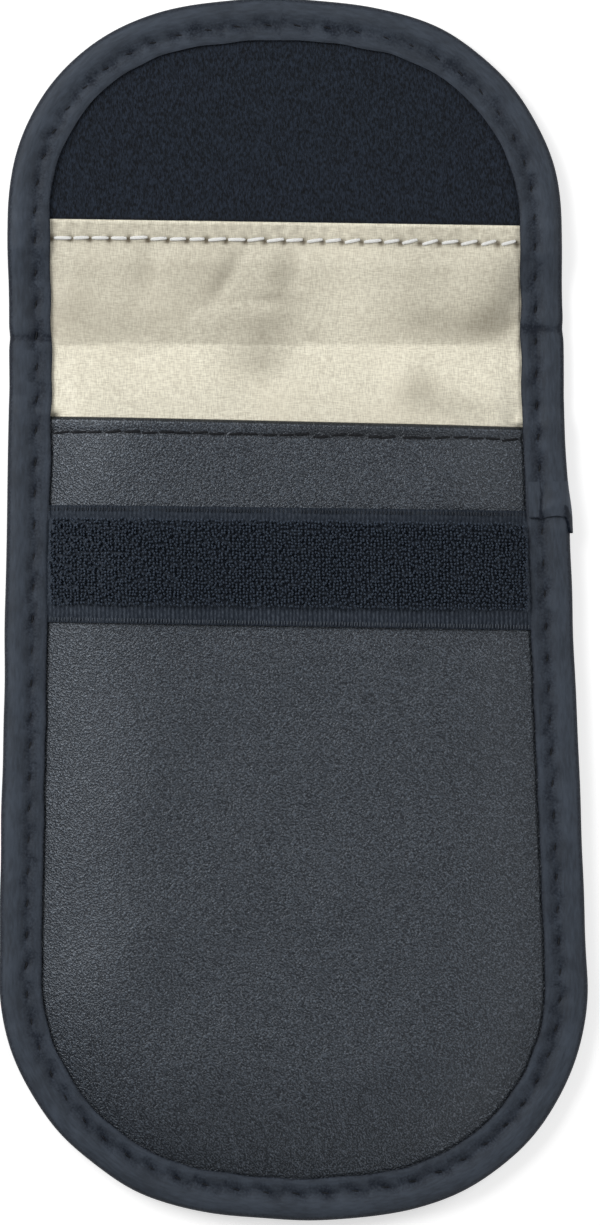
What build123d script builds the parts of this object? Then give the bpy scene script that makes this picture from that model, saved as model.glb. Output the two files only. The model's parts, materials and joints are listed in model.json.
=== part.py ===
from build123d import *
from collections import namedtuple
from math import asin, atan2, cos, degrees, hypot, pi, radians, sin, sqrt
import os

# A soft signal-blocking pouch for a car key, open and lying on its back.
# X runs across it, +Y points from the pocket to the flap's tip, +Z points up out of the inside.
# Every length is in millimetres.

# Outline, seen from above
FLAP_LENGTH = 54.9            # fold line to the flap's tip
POCKET_LENGTH = 140.4         # fold line to the pocket's bottom edge
FLAP_WIDTH = 88.6             # across the flap and the fold
POCKET_WIDTH = 94.1           # across the pocket at its widest place
FLAP_CORNER_RADIUS = 34.2
FLAP_END_RADIUS = 80.0
POCKET_CORNER_RADIUS = 37.6
POCKET_END_RADIUS = 89.3

# Sheets
LEATHER = 0.8                 # outer leather, back and front
SHIELD = 0.15                 # conductive cloth between leather and lining
LINING = 0.2                  # conductive lining cloth
LOOP_PANEL = 1.2              # knitted loop cloth with its backing

# Edge binding: one tape folded round the edge of all the sheets
BINDING_TAPE = 0.6            # the tape's own thickness
BINDING_WIDTH = 6.8           # outer edge to the lip, seen from above
EDGE_SLACK = 0.5              # room between the tape's bend and the sheets' cut edges
BINDING_PUFF = 0.2            # how far the tape swells between its roll and its stitch groove
ROLL_FLAT = 0.3               # share of the roll's radius left between its two flats underneath
GROOVE_INSET = 2.4            # stitch line to the lip
GROOVE_WIDTH = 1.2
GROOVE_DEPTH = 0.3

# Pocket
MOUTH_DROP = 12.7             # fold line to the pocket's mouth
POCKET_ROOM = 5.0             # free height between the linings, the pouch standing slightly open
SWELL_RUN = 19.0              # from the binding's lip to the full free height
SWELL_FLATS = 2               # flats in which the hidden faces follow the front's rise
HEM_DEPTH = 5.6               # how far the front leather is turned in at the mouth
HEM_LEATHER = 0.5             # the turned-in leather, pared thin
HEM_TURN = 0.8                # wall of the turn itself
HEM_ROUND = 0.7               # rounding of the turn's edges

# Hook tape across the front
HOOK_DROP = 26.4              # fold line to the tape's upper edge
HOOK_TAPE_WIDTH = 18.9
HOOK_TAPE_BASE = 0.5
HOOK_HEIGHT = 1.0
UPPER_SELVEDGE = 2.5          # bare edge of the tape above the hooks
LOWER_SELVEDGE = 3.1          # bare edge of the tape below the hooks

# Lining's upper edge, turned and sewn over the loop panel
LINING_REACH = 19.0           # fold line to the turned edge
LINING_LAP = 4.4              # how far it lies over the loop panel
LINING_RAMP = 2.4             # length of its climb onto the loop panel

# Where the binding tape's end laps over its start, on the pocket's right side
LAP_DROP = 23.4               # fold line to the upper edge of the lap
LAP_LENGTH = 5.6
LAP_TAPE = 0.4
LAP_FOOT = 0.3                # the lap's lower edge above the resting plane

# Clearances
SHEET_FIT = 0.1               # cut edge of a sheet to the bottom of the binding's fold
LIP_FIT = 0.2                 # lip of the binding to what lies beside it
RAMP_FIT = 0.2                # a sheet's end to the place where the binding starts to sink
TURN_FIT = 0.1                # end of the inner sheets to the turn of a hem
CLOSED_GAP = 0.35             # hooks to loops with the flap shut

# Heights of the stack, from the resting plane up
SHELL_Z = BINDING_TAPE
SHIELD_Z = SHELL_Z + LEATHER
LINING_Z = SHIELD_Z + SHIELD
BARE_TOP = LINING_Z + LINING
FRONT_LINING_Z = BARE_TOP
FRONT_SHIELD_Z = FRONT_LINING_Z + LINING
FRONT_PANEL_Z = FRONT_SHIELD_Z + SHIELD
FRONT_TOP = FRONT_PANEL_Z + LEATHER
LOOP_TOP = LINING_Z + LOOP_PANEL
HOOK_BASE_Z = FRONT_TOP
HOOKS_Z = HOOK_BASE_Z + HOOK_TAPE_BASE
HOOK_TOP = HOOKS_Z + HOOK_HEIGHT + POCKET_ROOM

# The flap turns about a line over the fold, so that shut its loops lie just above the hooks.
HINGE_HEIGHT = (HOOK_TOP + LOOP_TOP + CLOSED_GAP) / 2
FOLD_MIDDLE = (SHELL_Z + BARE_TOP) / 2
FOLD_HALF = pi * (HINGE_HEIGHT - FOLD_MIDDLE) / 2      # half the sheet that bends in the turn

# Places along Y
TIP_Y = (FLAP_LENGTH + POCKET_LENGTH) / 2
FOLD_Y = TIP_Y - FLAP_LENGTH
FLAP_FOOT = FOLD_HALF                                  # from the fold line, up the flap
POCKET_HEAD = FOLD_HALF                                # from the fold line, down the pocket
LOOP_FOOT = LINING_REACH - LINING_LAP

# Insets from the outline
NECK = FLAP_WIDTH / 2
SLOT_END = BINDING_TAPE + EDGE_SLACK
SHEET_EDGE = SLOT_END + SHEET_FIT
SWELL_START = BINDING_WIDTH + LIP_FIT
SWELL_END = SWELL_START + SWELL_RUN
FAR = 2 * (FLAP_LENGTH + POCKET_LENGTH)                # larger than the pouch, for trimming

# A stretch of the outline, walked with the pouch's inside on the left.
# A radius of 0 is a straight stretch of the given amount in mm; else amount is the turn in degrees.
Run = namedtuple("Run", "start heading radius amount")


def toward(angle, distance=1.0):
    """Vector of a given length in the XY plane, at an angle in degrees."""
    return Vector(distance * cos(radians(angle)), distance * sin(radians(angle)), 0)


def u_outline(widest, depth, corner_radius, end_radius, spare=2.0):
    """Runs of a U open to +Y: its mouth is at y = 0, its width there is the fold's."""
    half = widest / 2
    corner_x = half - corner_radius
    end_y = end_radius - depth
    corner_y = end_y - sqrt((end_radius - corner_radius) ** 2 - corner_x ** 2)
    reach = hypot(NECK - corner_x, corner_y)
    side_length = sqrt(reach ** 2 - corner_radius ** 2)
    down_right = degrees(atan2(corner_y, corner_x - NECK) + asin(corner_radius / reach))
    down_left = -180 - down_right
    tilt = down_right + 90
    corner_turn = tilt + degrees(atan2(end_y - corner_y, corner_x))
    end_turn = 2 * (90 + tilt - corner_turn)
    start = Vector(-NECK, 0, 0) - toward(down_left, spare)
    turns = [(0, side_length + spare), (corner_radius, corner_turn), (end_radius, end_turn),
             (corner_radius, corner_turn), (0, side_length + spare)]
    runs = []
    heading = down_left
    for radius, amount in turns:
        run = Run(start, heading, radius, amount)
        runs.append(run)
        start = outline_edge(run) @ 1
        heading += amount if radius else 0
    return runs


def outline_edge(run, inset=0.0):
    """The run as a line or an arc, moved inward by the inset."""
    start = run.start + toward(run.heading + 90, inset)
    if run.radius:
        return JernArc(start, toward(run.heading), run.radius - inset, run.amount)
    return Line(start, start + toward(run.heading, run.amount))


def stretch(run, skip, length):
    """Part of a straight run: leaves out the first of it, then takes the given length."""
    return Run(run.start + toward(run.heading, skip), run.heading, 0, length)


def section_plane(run):
    """Plane square to a run's start: X points inward, Y points up."""
    return Plane(run.start, x_dir=toward(run.heading + 90), z_dir=toward(run.heading))


def carried(section, run):
    """Solid of a section carried along a run."""
    placed = section_plane(run) * section
    if run.radius:
        centre = run.start + toward(run.heading + 90, run.radius)
        return revolve(placed, Axis(centre, (0, 0, 1)), run.amount)
    return extrude(placed, run.amount, toward(run.heading))


def closed_face(edges):
    """Face inside a chain of edges, its open end closed by a line."""
    return make_face([*edges, Line(edges[-1] @ 1, edges[0] @ 0)])


def slab(low, high):
    """Trimming block between two values of y."""
    return Pos(0, (low + high) / 2, 0) * Box(FAR, high - low, FAR)


def on_pocket(part):
    """Moves a part made from the U outline to the pocket's place."""
    return Pos(0, FOLD_Y - POCKET_HEAD, 0) * part


def on_flap(part):
    """Turns a part made from the U outline round to the flap's place."""
    return Pos(0, FOLD_Y + FLAP_FOOT, 0) * Rot(0, 0, 180) * part


POCKET_RUNS = u_outline(POCKET_WIDTH, POCKET_LENGTH - POCKET_HEAD, POCKET_CORNER_RADIUS,
                        POCKET_END_RADIUS)
FLAP_RUNS = u_outline(FLAP_WIDTH, FLAP_LENGTH - FLAP_FOOT, FLAP_CORNER_RADIUS, FLAP_END_RADIUS)


# Sheets

def flat_sheet(runs, bottom, thick, top_end=0.0):
    """Flat sheet that fills a U outline up to a line across it."""
    face = closed_face([outline_edge(run, SHEET_EDGE) for run in runs])
    sheet = Pos(0, 0, bottom) * extrude(face, thick)
    return sheet & slab(-FAR, top_end)


def swell_arc(height):
    """The front's rise, from the binding's lip to the full free height, level at its top."""
    return TangentArc((SWELL_END, height + POCKET_ROOM), (SWELL_START, height), tangent=(-1, 0))


def swell_flats(height):
    """The same rise in a few flats, for the faces that the leather hides."""
    arc = swell_arc(height)
    return Polyline(*[arc @ (step / SWELL_FLATS) for step in range(SWELL_FLATS + 1)])


def swelling_sheet(under, over, bottom, thick, start, low, high):
    """Sheet over the pocket that rises from the bound edge to a broad level middle."""
    edges = [under(bottom), over(bottom + thick)]
    edges.append(Line((SWELL_END, bottom + POCKET_ROOM), (SWELL_END, bottom + POCKET_ROOM + thick)))
    edges.append(Line((start, bottom), (start, bottom + thick)))
    if start < SWELL_START:
        edges.append(Line((start, bottom), (SWELL_START, bottom)))
        edges.append(Line((start, bottom + thick), (SWELL_START, bottom + thick)))
    section = make_face(edges)
    rim = [carried(section, run) for run in POCKET_RUNS]
    face = closed_face([outline_edge(run, SWELL_END) for run in POCKET_RUNS])
    middle = Pos(0, 0, bottom + POCKET_ROOM) * extrude(face, thick)
    return (Part() + [middle, *rim]) & slab(low, high)


def risen_inset(rise):
    """Inset from the outline at which the front has risen by a small height."""
    radius = (SWELL_RUN ** 2 + POCKET_ROOM ** 2) / (2 * POCKET_ROOM)
    return SWELL_END - sqrt(radius ** 2 - (radius - POCKET_ROOM + rise) ** 2)


MOUTH = POCKET_HEAD - MOUTH_DROP
POCKET_END = POCKET_HEAD - POCKET_LENGTH


def back_shell():
    return on_pocket(flat_sheet(POCKET_RUNS, SHELL_Z, LEATHER))


def back_shield():
    return on_pocket(flat_sheet(POCKET_RUNS, SHIELD_Z, SHIELD))


def back_lining():
    return on_pocket(flat_sheet(POCKET_RUNS, LINING_Z, LINING))


def front_lining():
    end = MOUTH - HEM_TURN - TURN_FIT
    sheet = swelling_sheet(swell_flats, swell_flats, FRONT_LINING_Z, LINING, SHEET_EDGE,
                           POCKET_END, end)
    return on_pocket(sheet)


def front_shield():
    end = MOUTH - HEM_TURN - TURN_FIT
    sheet = swelling_sheet(swell_flats, swell_flats, FRONT_SHIELD_Z, SHIELD, SHEET_EDGE,
                           POCKET_END, end)
    return on_pocket(sheet)


def front_panel():
    """Front leather; at the mouth it turns in round the edges of the shield and the lining."""
    panel = swelling_sheet(swell_flats, swell_arc, FRONT_PANEL_Z, LEATHER, SHEET_EDGE,
                           POCKET_END, MOUTH)
    hem_z = FRONT_LINING_Z - HEM_LEATHER
    notch = NECK - risen_inset(HEM_LEATHER + TURN_FIT)
    between_notches = Box(2 * notch, FAR, FAR)
    hem_foot = MOUTH - HEM_DEPTH
    flange = swelling_sheet(swell_flats, swell_flats, hem_z, HEM_LEATHER, SWELL_START,
                            hem_foot, MOUTH)
    turn_foot = MOUTH - HEM_TURN
    turn = swelling_sheet(swell_flats, swell_flats, hem_z, FRONT_TOP - hem_z, SWELL_START,
                          turn_foot, MOUTH)
    hem = (flange + turn) & between_notches
    whole = panel + hem
    at_mouth = whole.edges().group_by(Axis.Y)[-1]
    rim_edges = [edge for edge in at_mouth
                 if abs(edge.center().X) < notch and edge.bounding_box().size.X > HEM_TURN]
    return on_pocket(fillet(rim_edges, HEM_ROUND))


def hook_tape():
    high = POCKET_HEAD - HOOK_DROP
    low = high - HOOK_TAPE_WIDTH
    tape = swelling_sheet(swell_arc, swell_arc, HOOK_BASE_Z, HOOK_TAPE_BASE, SWELL_START,
                          low, high)
    return on_pocket(tape)


def hook_field():
    high = POCKET_HEAD - HOOK_DROP - UPPER_SELVEDGE
    low = POCKET_HEAD - HOOK_DROP - HOOK_TAPE_WIDTH + LOWER_SELVEDGE
    hooks = swelling_sheet(swell_arc, swell_arc, HOOKS_Z, HOOK_HEIGHT, SWELL_START, low, high)
    return on_pocket(hooks)


def flap_shell():
    return on_flap(flat_sheet(FLAP_RUNS, SHELL_Z, LEATHER))


def flap_shield():
    return on_flap(flat_sheet(FLAP_RUNS, SHIELD_Z, SHIELD))


def flap_loop_panel():
    return on_flap(flat_sheet(FLAP_RUNS, LINING_Z, LOOP_PANEL, FLAP_FOOT - LOOP_FOOT))


def flap_lining():
    """Lining on the flap: it climbs onto the loop panel and its end is turned under."""
    foot = FOLD_Y + FLAP_FOOT
    loop_y = FOLD_Y + LOOP_FOOT
    ramp_y = loop_y - LINING_RAMP
    end_y = FOLD_Y + LINING_REACH
    width = 2 * (NECK - SHEET_EDGE)
    narrow = 2 * (NECK - BINDING_WIDTH - LIP_FIT)
    flat = Pos(0, (foot + ramp_y) / 2, LINING_Z + LINING / 2) * Box(width, ramp_y - foot, LINING)
    ramp_middle = (loop_y + ramp_y) / 2
    rise = LOOP_TOP + LINING - LINING_Z
    climb = [
        TangentArc((ramp_y, LINING_Z), (ramp_middle, LINING_Z + rise / 2), tangent=(1, 0)),
        TangentArc((loop_y, LOOP_TOP + LINING), (ramp_middle, LINING_Z + rise / 2), tangent=(-1, 0)),
    ]
    upper_climb = [Pos(0, LINING) * edge for edge in climb]
    lower = LOOP_TOP + LINING
    upper = lower + LINING
    under_end = end_y - LINING_LAP + TURN_FIT
    lap = [
        Line((loop_y, upper), (end_y - LINING, upper)),
        ThreePointArc((end_y - LINING, upper), (end_y, lower), (end_y - LINING, LOOP_TOP)),
        Line((end_y - LINING, LOOP_TOP), (under_end, LOOP_TOP)),
        Line((under_end, LOOP_TOP), (under_end, lower)),
        Line((under_end, lower), (loop_y, lower)),
        Line((ramp_y, LINING_Z), (ramp_y, LINING_Z + LINING)),
    ]
    section = make_face([*climb, *upper_climb, *lap])
    across = Plane((-narrow / 2, 0, 0), x_dir=(0, 1, 0), z_dir=(1, 0, 0))
    return flat + extrude(across * section, narrow)


# The short stretch of each sheet that bends when the flap is folded over

def fold_sheet(bottom, thick):
    width = 2 * (NECK - SHEET_EDGE)
    return Pos(0, FOLD_Y, bottom + thick / 2) * Box(width, 2 * FOLD_HALF, thick)


def fold_shell():
    return fold_sheet(SHELL_Z, LEATHER)


def fold_shield():
    return fold_sheet(SHIELD_Z, SHIELD)


def fold_lining():
    return fold_sheet(LINING_Z, LINING)


# Edge binding

def binding_body(sheets_top, more=0.0):
    """The binding's outside: flat below, rolled at the edge, a stitch groove on its top."""
    low = -more
    middle = (sheets_top + BINDING_TAPE) / 2
    top = sheets_top + BINDING_TAPE + more
    flat_end = ROLL_FLAT * middle - (1 - ROLL_FLAT) * more
    crown = top + BINDING_PUFF
    crown_at = low + crown - middle
    groove = BINDING_WIDTH - GROOVE_INSET
    groove_end = groove + GROOVE_WIDTH / 2
    return make_face([
        Line((BINDING_WIDTH, low), (middle, low)),
        Line((middle, low), (flat_end, flat_end)),
        Line((flat_end, flat_end), (low, middle)),
        TangentArc((low, middle), (crown_at, crown), tangent=(0, 1)),
        Line((crown_at, crown), (groove, top - GROOVE_DEPTH)),
        Line((groove, top - GROOVE_DEPTH), (groove_end, top)),
        Line((groove_end, top), (BINDING_WIDTH, top)),
        Line((BINDING_WIDTH, top), (BINDING_WIDTH, low)),
    ])


def binding_section(sheets_top):
    """The tape folded round the stack of sheets: its body less the slot for their edges."""
    depth = BINDING_WIDTH - SLOT_END
    height = sheets_top - BINDING_TAPE
    slot = Pos(SLOT_END + depth / 2, BINDING_TAPE + height / 2) * Rectangle(depth, height)
    return binding_body(sheets_top) - slot


def binding(runs, sheets_top, ramp_length):
    """Binding round a U outline; towards the fold it sinks onto the thinner stack."""
    full = binding_section(sheets_top)
    bare = binding_section(BARE_TOP)
    left, right = runs[0], runs[-1]
    spare = hypot(left.start.X + NECK, left.start.Y)
    side = left.amount - spare - ramp_length
    pieces = [
        carried(bare, stretch(left, 0, spare)),
        loft([section_plane(stretch(left, spare, 0)) * bare,
              section_plane(stretch(left, spare + ramp_length, 0)) * full], ruled=True),
        carried(full, stretch(left, spare + ramp_length, side)),
        *[carried(full, run) for run in runs[1:-1]],
        carried(full, stretch(right, 0, side)),
        loft([section_plane(stretch(right, side, 0)) * full,
              section_plane(stretch(right, side + ramp_length, 0)) * bare], ruled=True),
        carried(bare, stretch(right, side + ramp_length, spare)),
    ]
    return (Part() + pieces) & slab(-FAR, 0)


def pocket_binding():
    return on_pocket(binding(POCKET_RUNS, FRONT_TOP, MOUTH_DROP - POCKET_HEAD - RAMP_FIT))


def flap_binding():
    return on_flap(binding(FLAP_RUNS, LOOP_TOP, LOOP_FOOT - FLAP_FOOT - RAMP_FIT))


def fold_binding_right():
    run = Run(Vector(NECK, FOLD_Y - FOLD_HALF, 0), 90, 0, 2 * FOLD_HALF)
    return carried(binding_section(BARE_TOP), run)


def fold_binding_left():
    run = Run(Vector(-NECK, FOLD_Y + FOLD_HALF, 0), -90, 0, 2 * FOLD_HALF)
    return carried(binding_section(BARE_TOP), run)


def binding_lap():
    """End of the binding tape, laid over its start on the right side of the pocket."""
    body = binding_body(FRONT_TOP)
    height = FRONT_TOP + BINDING_TAPE + BINDING_PUFF + LAP_TAPE - LAP_FOOT
    width = BINDING_WIDTH + LAP_TAPE
    window = Pos(width / 2 - LAP_TAPE, LAP_FOOT + height / 2) * Rectangle(width, height)
    section = (binding_body(FRONT_TOP, LAP_TAPE) - body) & window
    right = POCKET_RUNS[-1]
    spare = hypot(POCKET_RUNS[0].start.X + NECK, POCKET_RUNS[0].start.Y)
    skip = right.amount - spare - (LAP_DROP - POCKET_HEAD) - LAP_LENGTH
    return on_pocket(carried(section, stretch(right, skip, LAP_LENGTH)))


PIECES = [
    back_shell, back_shield, back_lining, front_lining, front_shield, front_panel,
    hook_tape, hook_field, pocket_binding, binding_lap,
    fold_shell, fold_shield, fold_lining, fold_binding_left, fold_binding_right,
    flap_shell, flap_shield, flap_loop_panel, flap_lining, flap_binding,
]

os.makedirs("parts", exist_ok=True)
for piece in PIECES:
    export_step(piece(), "parts/" + piece.__name__ + ".step")
print("hinge line at y %.3f, z %.3f; fold half %.3f" % (FOLD_Y, HINGE_HEIGHT, FOLD_HALF))
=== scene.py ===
"""Looks of a soft signal-blocking key pouch, open and lying on its back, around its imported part.

Lengths are in millimetres unless a name says otherwise, and meshes turn to metres as they are made.
X runs across the pouch, +Y points from the pocket to the flap's tip, +Z points up out of the inside.
"""
import json
import logging
import math
from collections.abc import Callable
from dataclasses import dataclass
from enum import Enum

import bmesh
import bpy
import numpy as np
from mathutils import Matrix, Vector
from mathutils.kdtree import KDTree


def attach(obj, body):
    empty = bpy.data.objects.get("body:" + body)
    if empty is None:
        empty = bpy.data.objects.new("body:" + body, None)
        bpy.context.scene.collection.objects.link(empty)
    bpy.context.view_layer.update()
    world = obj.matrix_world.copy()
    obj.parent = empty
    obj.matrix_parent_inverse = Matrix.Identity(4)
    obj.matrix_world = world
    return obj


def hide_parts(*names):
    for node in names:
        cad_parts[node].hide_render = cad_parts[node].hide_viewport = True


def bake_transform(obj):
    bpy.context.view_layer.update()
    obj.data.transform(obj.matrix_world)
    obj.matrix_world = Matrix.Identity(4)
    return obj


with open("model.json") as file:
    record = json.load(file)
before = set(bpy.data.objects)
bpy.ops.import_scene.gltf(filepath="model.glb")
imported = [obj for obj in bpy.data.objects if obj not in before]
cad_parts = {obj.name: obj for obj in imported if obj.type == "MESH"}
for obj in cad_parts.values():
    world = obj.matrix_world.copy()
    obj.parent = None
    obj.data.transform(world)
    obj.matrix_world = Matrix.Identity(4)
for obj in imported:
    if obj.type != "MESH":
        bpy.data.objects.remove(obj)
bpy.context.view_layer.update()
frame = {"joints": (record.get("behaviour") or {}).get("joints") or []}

MM = 0.001
SHARP_EDGE = math.radians(50.0)
LOG = logging.getLogger("key_pouch")
Array = np.ndarray
Colour = tuple[float, float, float, float]


# Numbers along the cloth


def unit(values: Array) -> Array:
    """Values cut off below 0 and above 1."""
    return np.clip(values, 0.0, 1.0)


def smooth(low: float, high: float, values: Array) -> Array:
    """Goes from 0 at low to 1 at high, level at both ends."""
    share = unit((values - low) / (high - low))
    return share * share * (3.0 - 2.0 * share)


def window(values: Array, low: float, full: float, fade: float, high: float) -> Array:
    """Goes from 0 at low to 1 at full, and back to 0 between fade and high."""
    return smooth(low, full, values) * (1.0 - smooth(fade, high, values))


def hump(values: Array, centre: float | Array, width: float | Array) -> Array:
    """A soft hump of height 1 around a place."""
    return np.exp(-(((values - centre) / width) ** 2))


def steps(low: float, high: float, size: float) -> Array:
    """Even steps from low to high, each about the given size."""
    return np.linspace(low, high, max(2, round(abs(high - low) / size) + 1))


def places(*parts: Array | float) -> Array:
    """Points from their coordinates."""
    return np.stack(np.broadcast_arrays(*parts), axis=-1)


def walk(*parts: Array) -> Array:
    """Distance walked up to each point of a line, from the line's two coordinates."""
    return np.concatenate([[0.0], np.cumsum(np.hypot(*(np.diff(part) for part in parts)))])


def follow(y: Array, z: Array) -> tuple[Array, ...]:
    """Looks along a line that runs the pouch's length.

    Args:
        y: The line's places along the pouch.
        z: Its heights.

    Returns:
        The normal's y and z, and the distance walked.
    """
    ahead = np.stack([np.gradient(y), np.gradient(z)])
    ahead = ahead / np.linalg.norm(ahead, axis=0)
    return -ahead[1], ahead[0], walk(y, z)


@dataclass(frozen=True)
class Ripples:
    """Seeded unevenness of cloth and leather, as a sum of a few plane waves.

    Attributes:
        seed: Seed of the waves' directions, lengths and phases.
        shortest: Shortest wave.
        longest: Longest wave.
        height: Root mean square height.
        stretch: How many times longer the waves are along y than across.
        count: Number of waves.
    """

    seed: int
    shortest: float
    longest: float
    height: float
    stretch: float = 1.0
    count: int = 12

    def at(self, x: Array, y: Array | float = 0.0) -> Array:
        """Height at each place.

        Args:
            x: Places across the pouch, or distances along its edge.
            y: Places along it.

        Returns:
            The heights.
        """
        random = np.random.default_rng(self.seed)
        total = np.zeros(np.broadcast(x, y).shape)
        for _ in range(self.count):
            angle, phase = random.uniform(0.0, math.tau, 2)
            length = random.uniform(self.shortest, self.longest)
            way = x * math.cos(angle) + y * math.sin(angle) / self.stretch
            total = total + np.sin(math.tau * way / length + phase)
        return self.height * total / math.sqrt(self.count / 2)


# The pouch's outline and layers


@dataclass(frozen=True)
class Lie:
    """How the sewn pouch lies a little out of square."""

    lean: float = 0.0112
    drop: float = 0.0125

    def place(self, points: Array) -> Array:
        """Points of the square pouch, moved to where they lie."""
        x, y, z = points[..., 0], points[..., 1], points[..., 2]
        return places(x - self.lean * y, y - self.drop * x, z)


@dataclass(frozen=True)
class EdgeLine:
    """The pouch's closed outer edge, walked from the flap's tip down the right side.

    Attributes:
        points: (n, 2) places on the edge.
        inward: (n, 2) unit directions into the pouch.
        along: (n,) distance walked.
        length: The whole edge.
    """

    points: Array
    inward: Array
    along: Array
    length: float

    def at(self, along: Array) -> list[Array]:
        """x, y and the inward direction's x and y at each distance walked."""
        return [np.interp(along, self.along, part, period=self.length)
                for part in (*self.points.T, *self.inward.T)]


@dataclass(frozen=True)
class Outline:
    """Outline of the pouch seen from above: a flap and a longer pocket, joined at the fold.

    Attributes:
        fold_y: Place of the fold line, the flap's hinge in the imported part.
        fold_half: Length of sheet that bends on each side of the fold line.
        mouth_tilt: Rise of the pocket's mouth per mm towards the right.
    """

    fold_y: float
    fold_half: float = 7.97
    flap_length: float = 54.9
    pocket_length: float = 140.4
    flap_width: float = 88.6
    pocket_width: float = 94.1
    flap_corner: float = 34.2
    flap_end: float = 80.0
    pocket_corner: float = 37.6
    pocket_end: float = 89.3
    mouth_tilt: float = -0.0104

    @property
    def tip_y(self) -> float:
        """Highest point of the flap."""
        return self.fold_y + self.flap_length

    @property
    def bottom_y(self) -> float:
        """Lowest point of the pocket."""
        return self.fold_y - self.pocket_length

    @property
    def neck(self) -> float:
        """Half the width at the fold."""
        return self.flap_width / 2

    def _side(self, widest: float, depth: float, corner: float, end: float) -> Array:
        """Right side of a U whose mouth is at y = 0, from its mouth to its lowest point.

        Args:
            widest: The U's full width.
            depth: Mouth to lowest point.
            corner: Radius of the corner arc.
            end: Radius of the end arc.

        Returns:
            (n, 2) points.
        """
        corner_x = widest / 2 - corner
        end_y = end - depth
        corner_y = end_y - math.sqrt((end - corner) ** 2 - corner_x ** 2)
        reach = math.hypot(self.neck - corner_x, corner_y)
        touch = math.atan2(-corner_y, self.neck - corner_x) - math.acos(corner / reach)
        join = math.atan2(corner_y - end_y, corner_x)
        corner_turn = np.linspace(touch, join, 120)
        end_turn = np.linspace(join, -math.pi / 2, 80)[1:]
        return np.concatenate([
            [[self.neck, 0.0]],
            places(corner_x + corner * np.cos(corner_turn), corner_y + corner * np.sin(corner_turn)),
            places(end * np.cos(end_turn), end_y + end * np.sin(end_turn))])

    def edge(self, step: float) -> EdgeLine:
        """The outer edge in even steps.

        Args:
            step: Wanted distance between points.

        Returns:
            The closed edge line.
        """
        flap = self._side(self.flap_width, self.flap_length - self.fold_half,
                          self.flap_corner, self.flap_end)
        pocket = self._side(self.pocket_width, self.pocket_length - self.fold_half,
                            self.pocket_corner, self.pocket_end)
        upper = np.array([0.0, self.fold_y + self.fold_half]) + flap[::-1] * [1, -1]
        lower = np.array([0.0, self.fold_y - self.fold_half]) + pocket
        right = np.concatenate([upper, lower])
        loop = np.concatenate([right, right[::-1][1:] * [-1, 1]])
        walked = walk(*loop.T)
        count = round(walked[-1] / step)
        along = np.arange(count) * walked[-1] / count
        points = places(*(np.interp(along, walked, part) for part in loop.T))
        ahead = np.roll(points, -2, axis=0) - np.roll(points, 2, axis=0)
        ahead = ahead / np.hypot(ahead[:, 0], ahead[:, 1])[:, None]
        return EdgeLine(points, places(ahead[:, 1], -ahead[:, 0]), along, walked[-1])

    def half_width(self, y: Array, inset: float) -> Array:
        """Half the width of the outline drawn in by an inset.

        Args:
            y: Places along the pouch.
            inset: How far the outline is drawn in.

        Returns:
            Half the width at each place.
        """
        edge = self.edge(0.5)
        drawn = edge.points + edge.inward * inset
        right = drawn[drawn[:, 0] >= 0.0]
        order = np.argsort(right[:, 1])
        return np.interp(y, right[order, 1], right[order, 0])

    def inset(self, x: Array, y: Array) -> Array:
        """Distance from each place to the outer edge.

        Args:
            x: Places across the pouch.
            y: Places along it.

        Returns:
            The distances.
        """
        edge = self.edge(0.8)
        tree = KDTree(len(edge.points))
        for number, (edge_x, edge_y) in enumerate(edge.points):
            tree.insert((edge_x, edge_y, 0.0), number)
        tree.balance()
        found = [tree.find((px, py, 0.0))[2] for px, py in zip(x.ravel(), y.ravel())]
        return np.array(found).reshape(x.shape)


@dataclass(frozen=True)
class Layers:
    """Heights of the layers above the resting plane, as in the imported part."""

    tape: float = 0.6
    leather: float = 0.8
    shield: float = 0.15
    lining: float = 0.2
    loops: float = 1.2
    sheet_edge: float = 1.2
    binding_width: float = 6.8

    @property
    def shield_low(self) -> float:
        """Underside of the shield cloth."""
        return self.tape + self.leather

    @property
    def lining_low(self) -> float:
        """Underside of the lining."""
        return self.shield_low + self.shield

    @property
    def bare_top(self) -> float:
        """Top of the stack at the fold."""
        return self.lining_low + self.lining

    @property
    def front_top(self) -> float:
        """Top of the front leather where it is bound."""
        return self.bare_top + self.lining + self.shield + self.leather

    @property
    def loop_top(self) -> float:
        """Top of the loop panel."""
        return self.lining_low + self.loops


@dataclass(frozen=True)
class Swell:
    """The front's rise from the binding to the free height of the open pocket.

    Attributes:
        room: Free height.
        start: Inset at which the rise starts.
        run: Length of the rise.
        bulges: Each bulge's x, y, half width and height.
    """

    room: float = 5.0
    start: float = 7.0
    run: float = 19.0
    unevenness: Ripples = Ripples(seed=11, shortest=14.0, longest=46.0, height=0.085)
    bulges: tuple[tuple[float, float, float, float], ...] = (
        (26.5, 20.5, 4.5, 0.8), (-30.0, 21.0, 5.0, 0.2), (31.0, -12.0, 7.0, 0.25),
        (30.0, -72.0, 9.0, 0.35))

    def rise(self, x: Array, y: Array) -> Array:
        """Height that the front has gained.

        Args:
            x: Places across the pouch.
            y: Places along it.

        Returns:
            The height at each place.
        """
        share = unit((OUTLINE.inset(x, y) - self.start) / self.run)
        loose = self.unevenness.at(x, y)
        for across, along, wide, high in self.bulges:
            loose = loose + high * hump(x, across, wide) * hump(y, along, wide * 1.3)
        return self.room * (1.0 - (1.0 - share) ** 2) + loose * smooth(0.0, 0.4, share)

    def front(self, x: Array, y: Array) -> Array:
        """Height of the front leather's upper face at each place."""
        return LAYERS.front_top + self.rise(x, y)


HINGE = frame["joints"][0]
OUTLINE = Outline(fold_y=HINGE["pos_m"][1] / MM)
LAYERS = Layers()
SWELL = Swell()
LIE = Lie()
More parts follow.
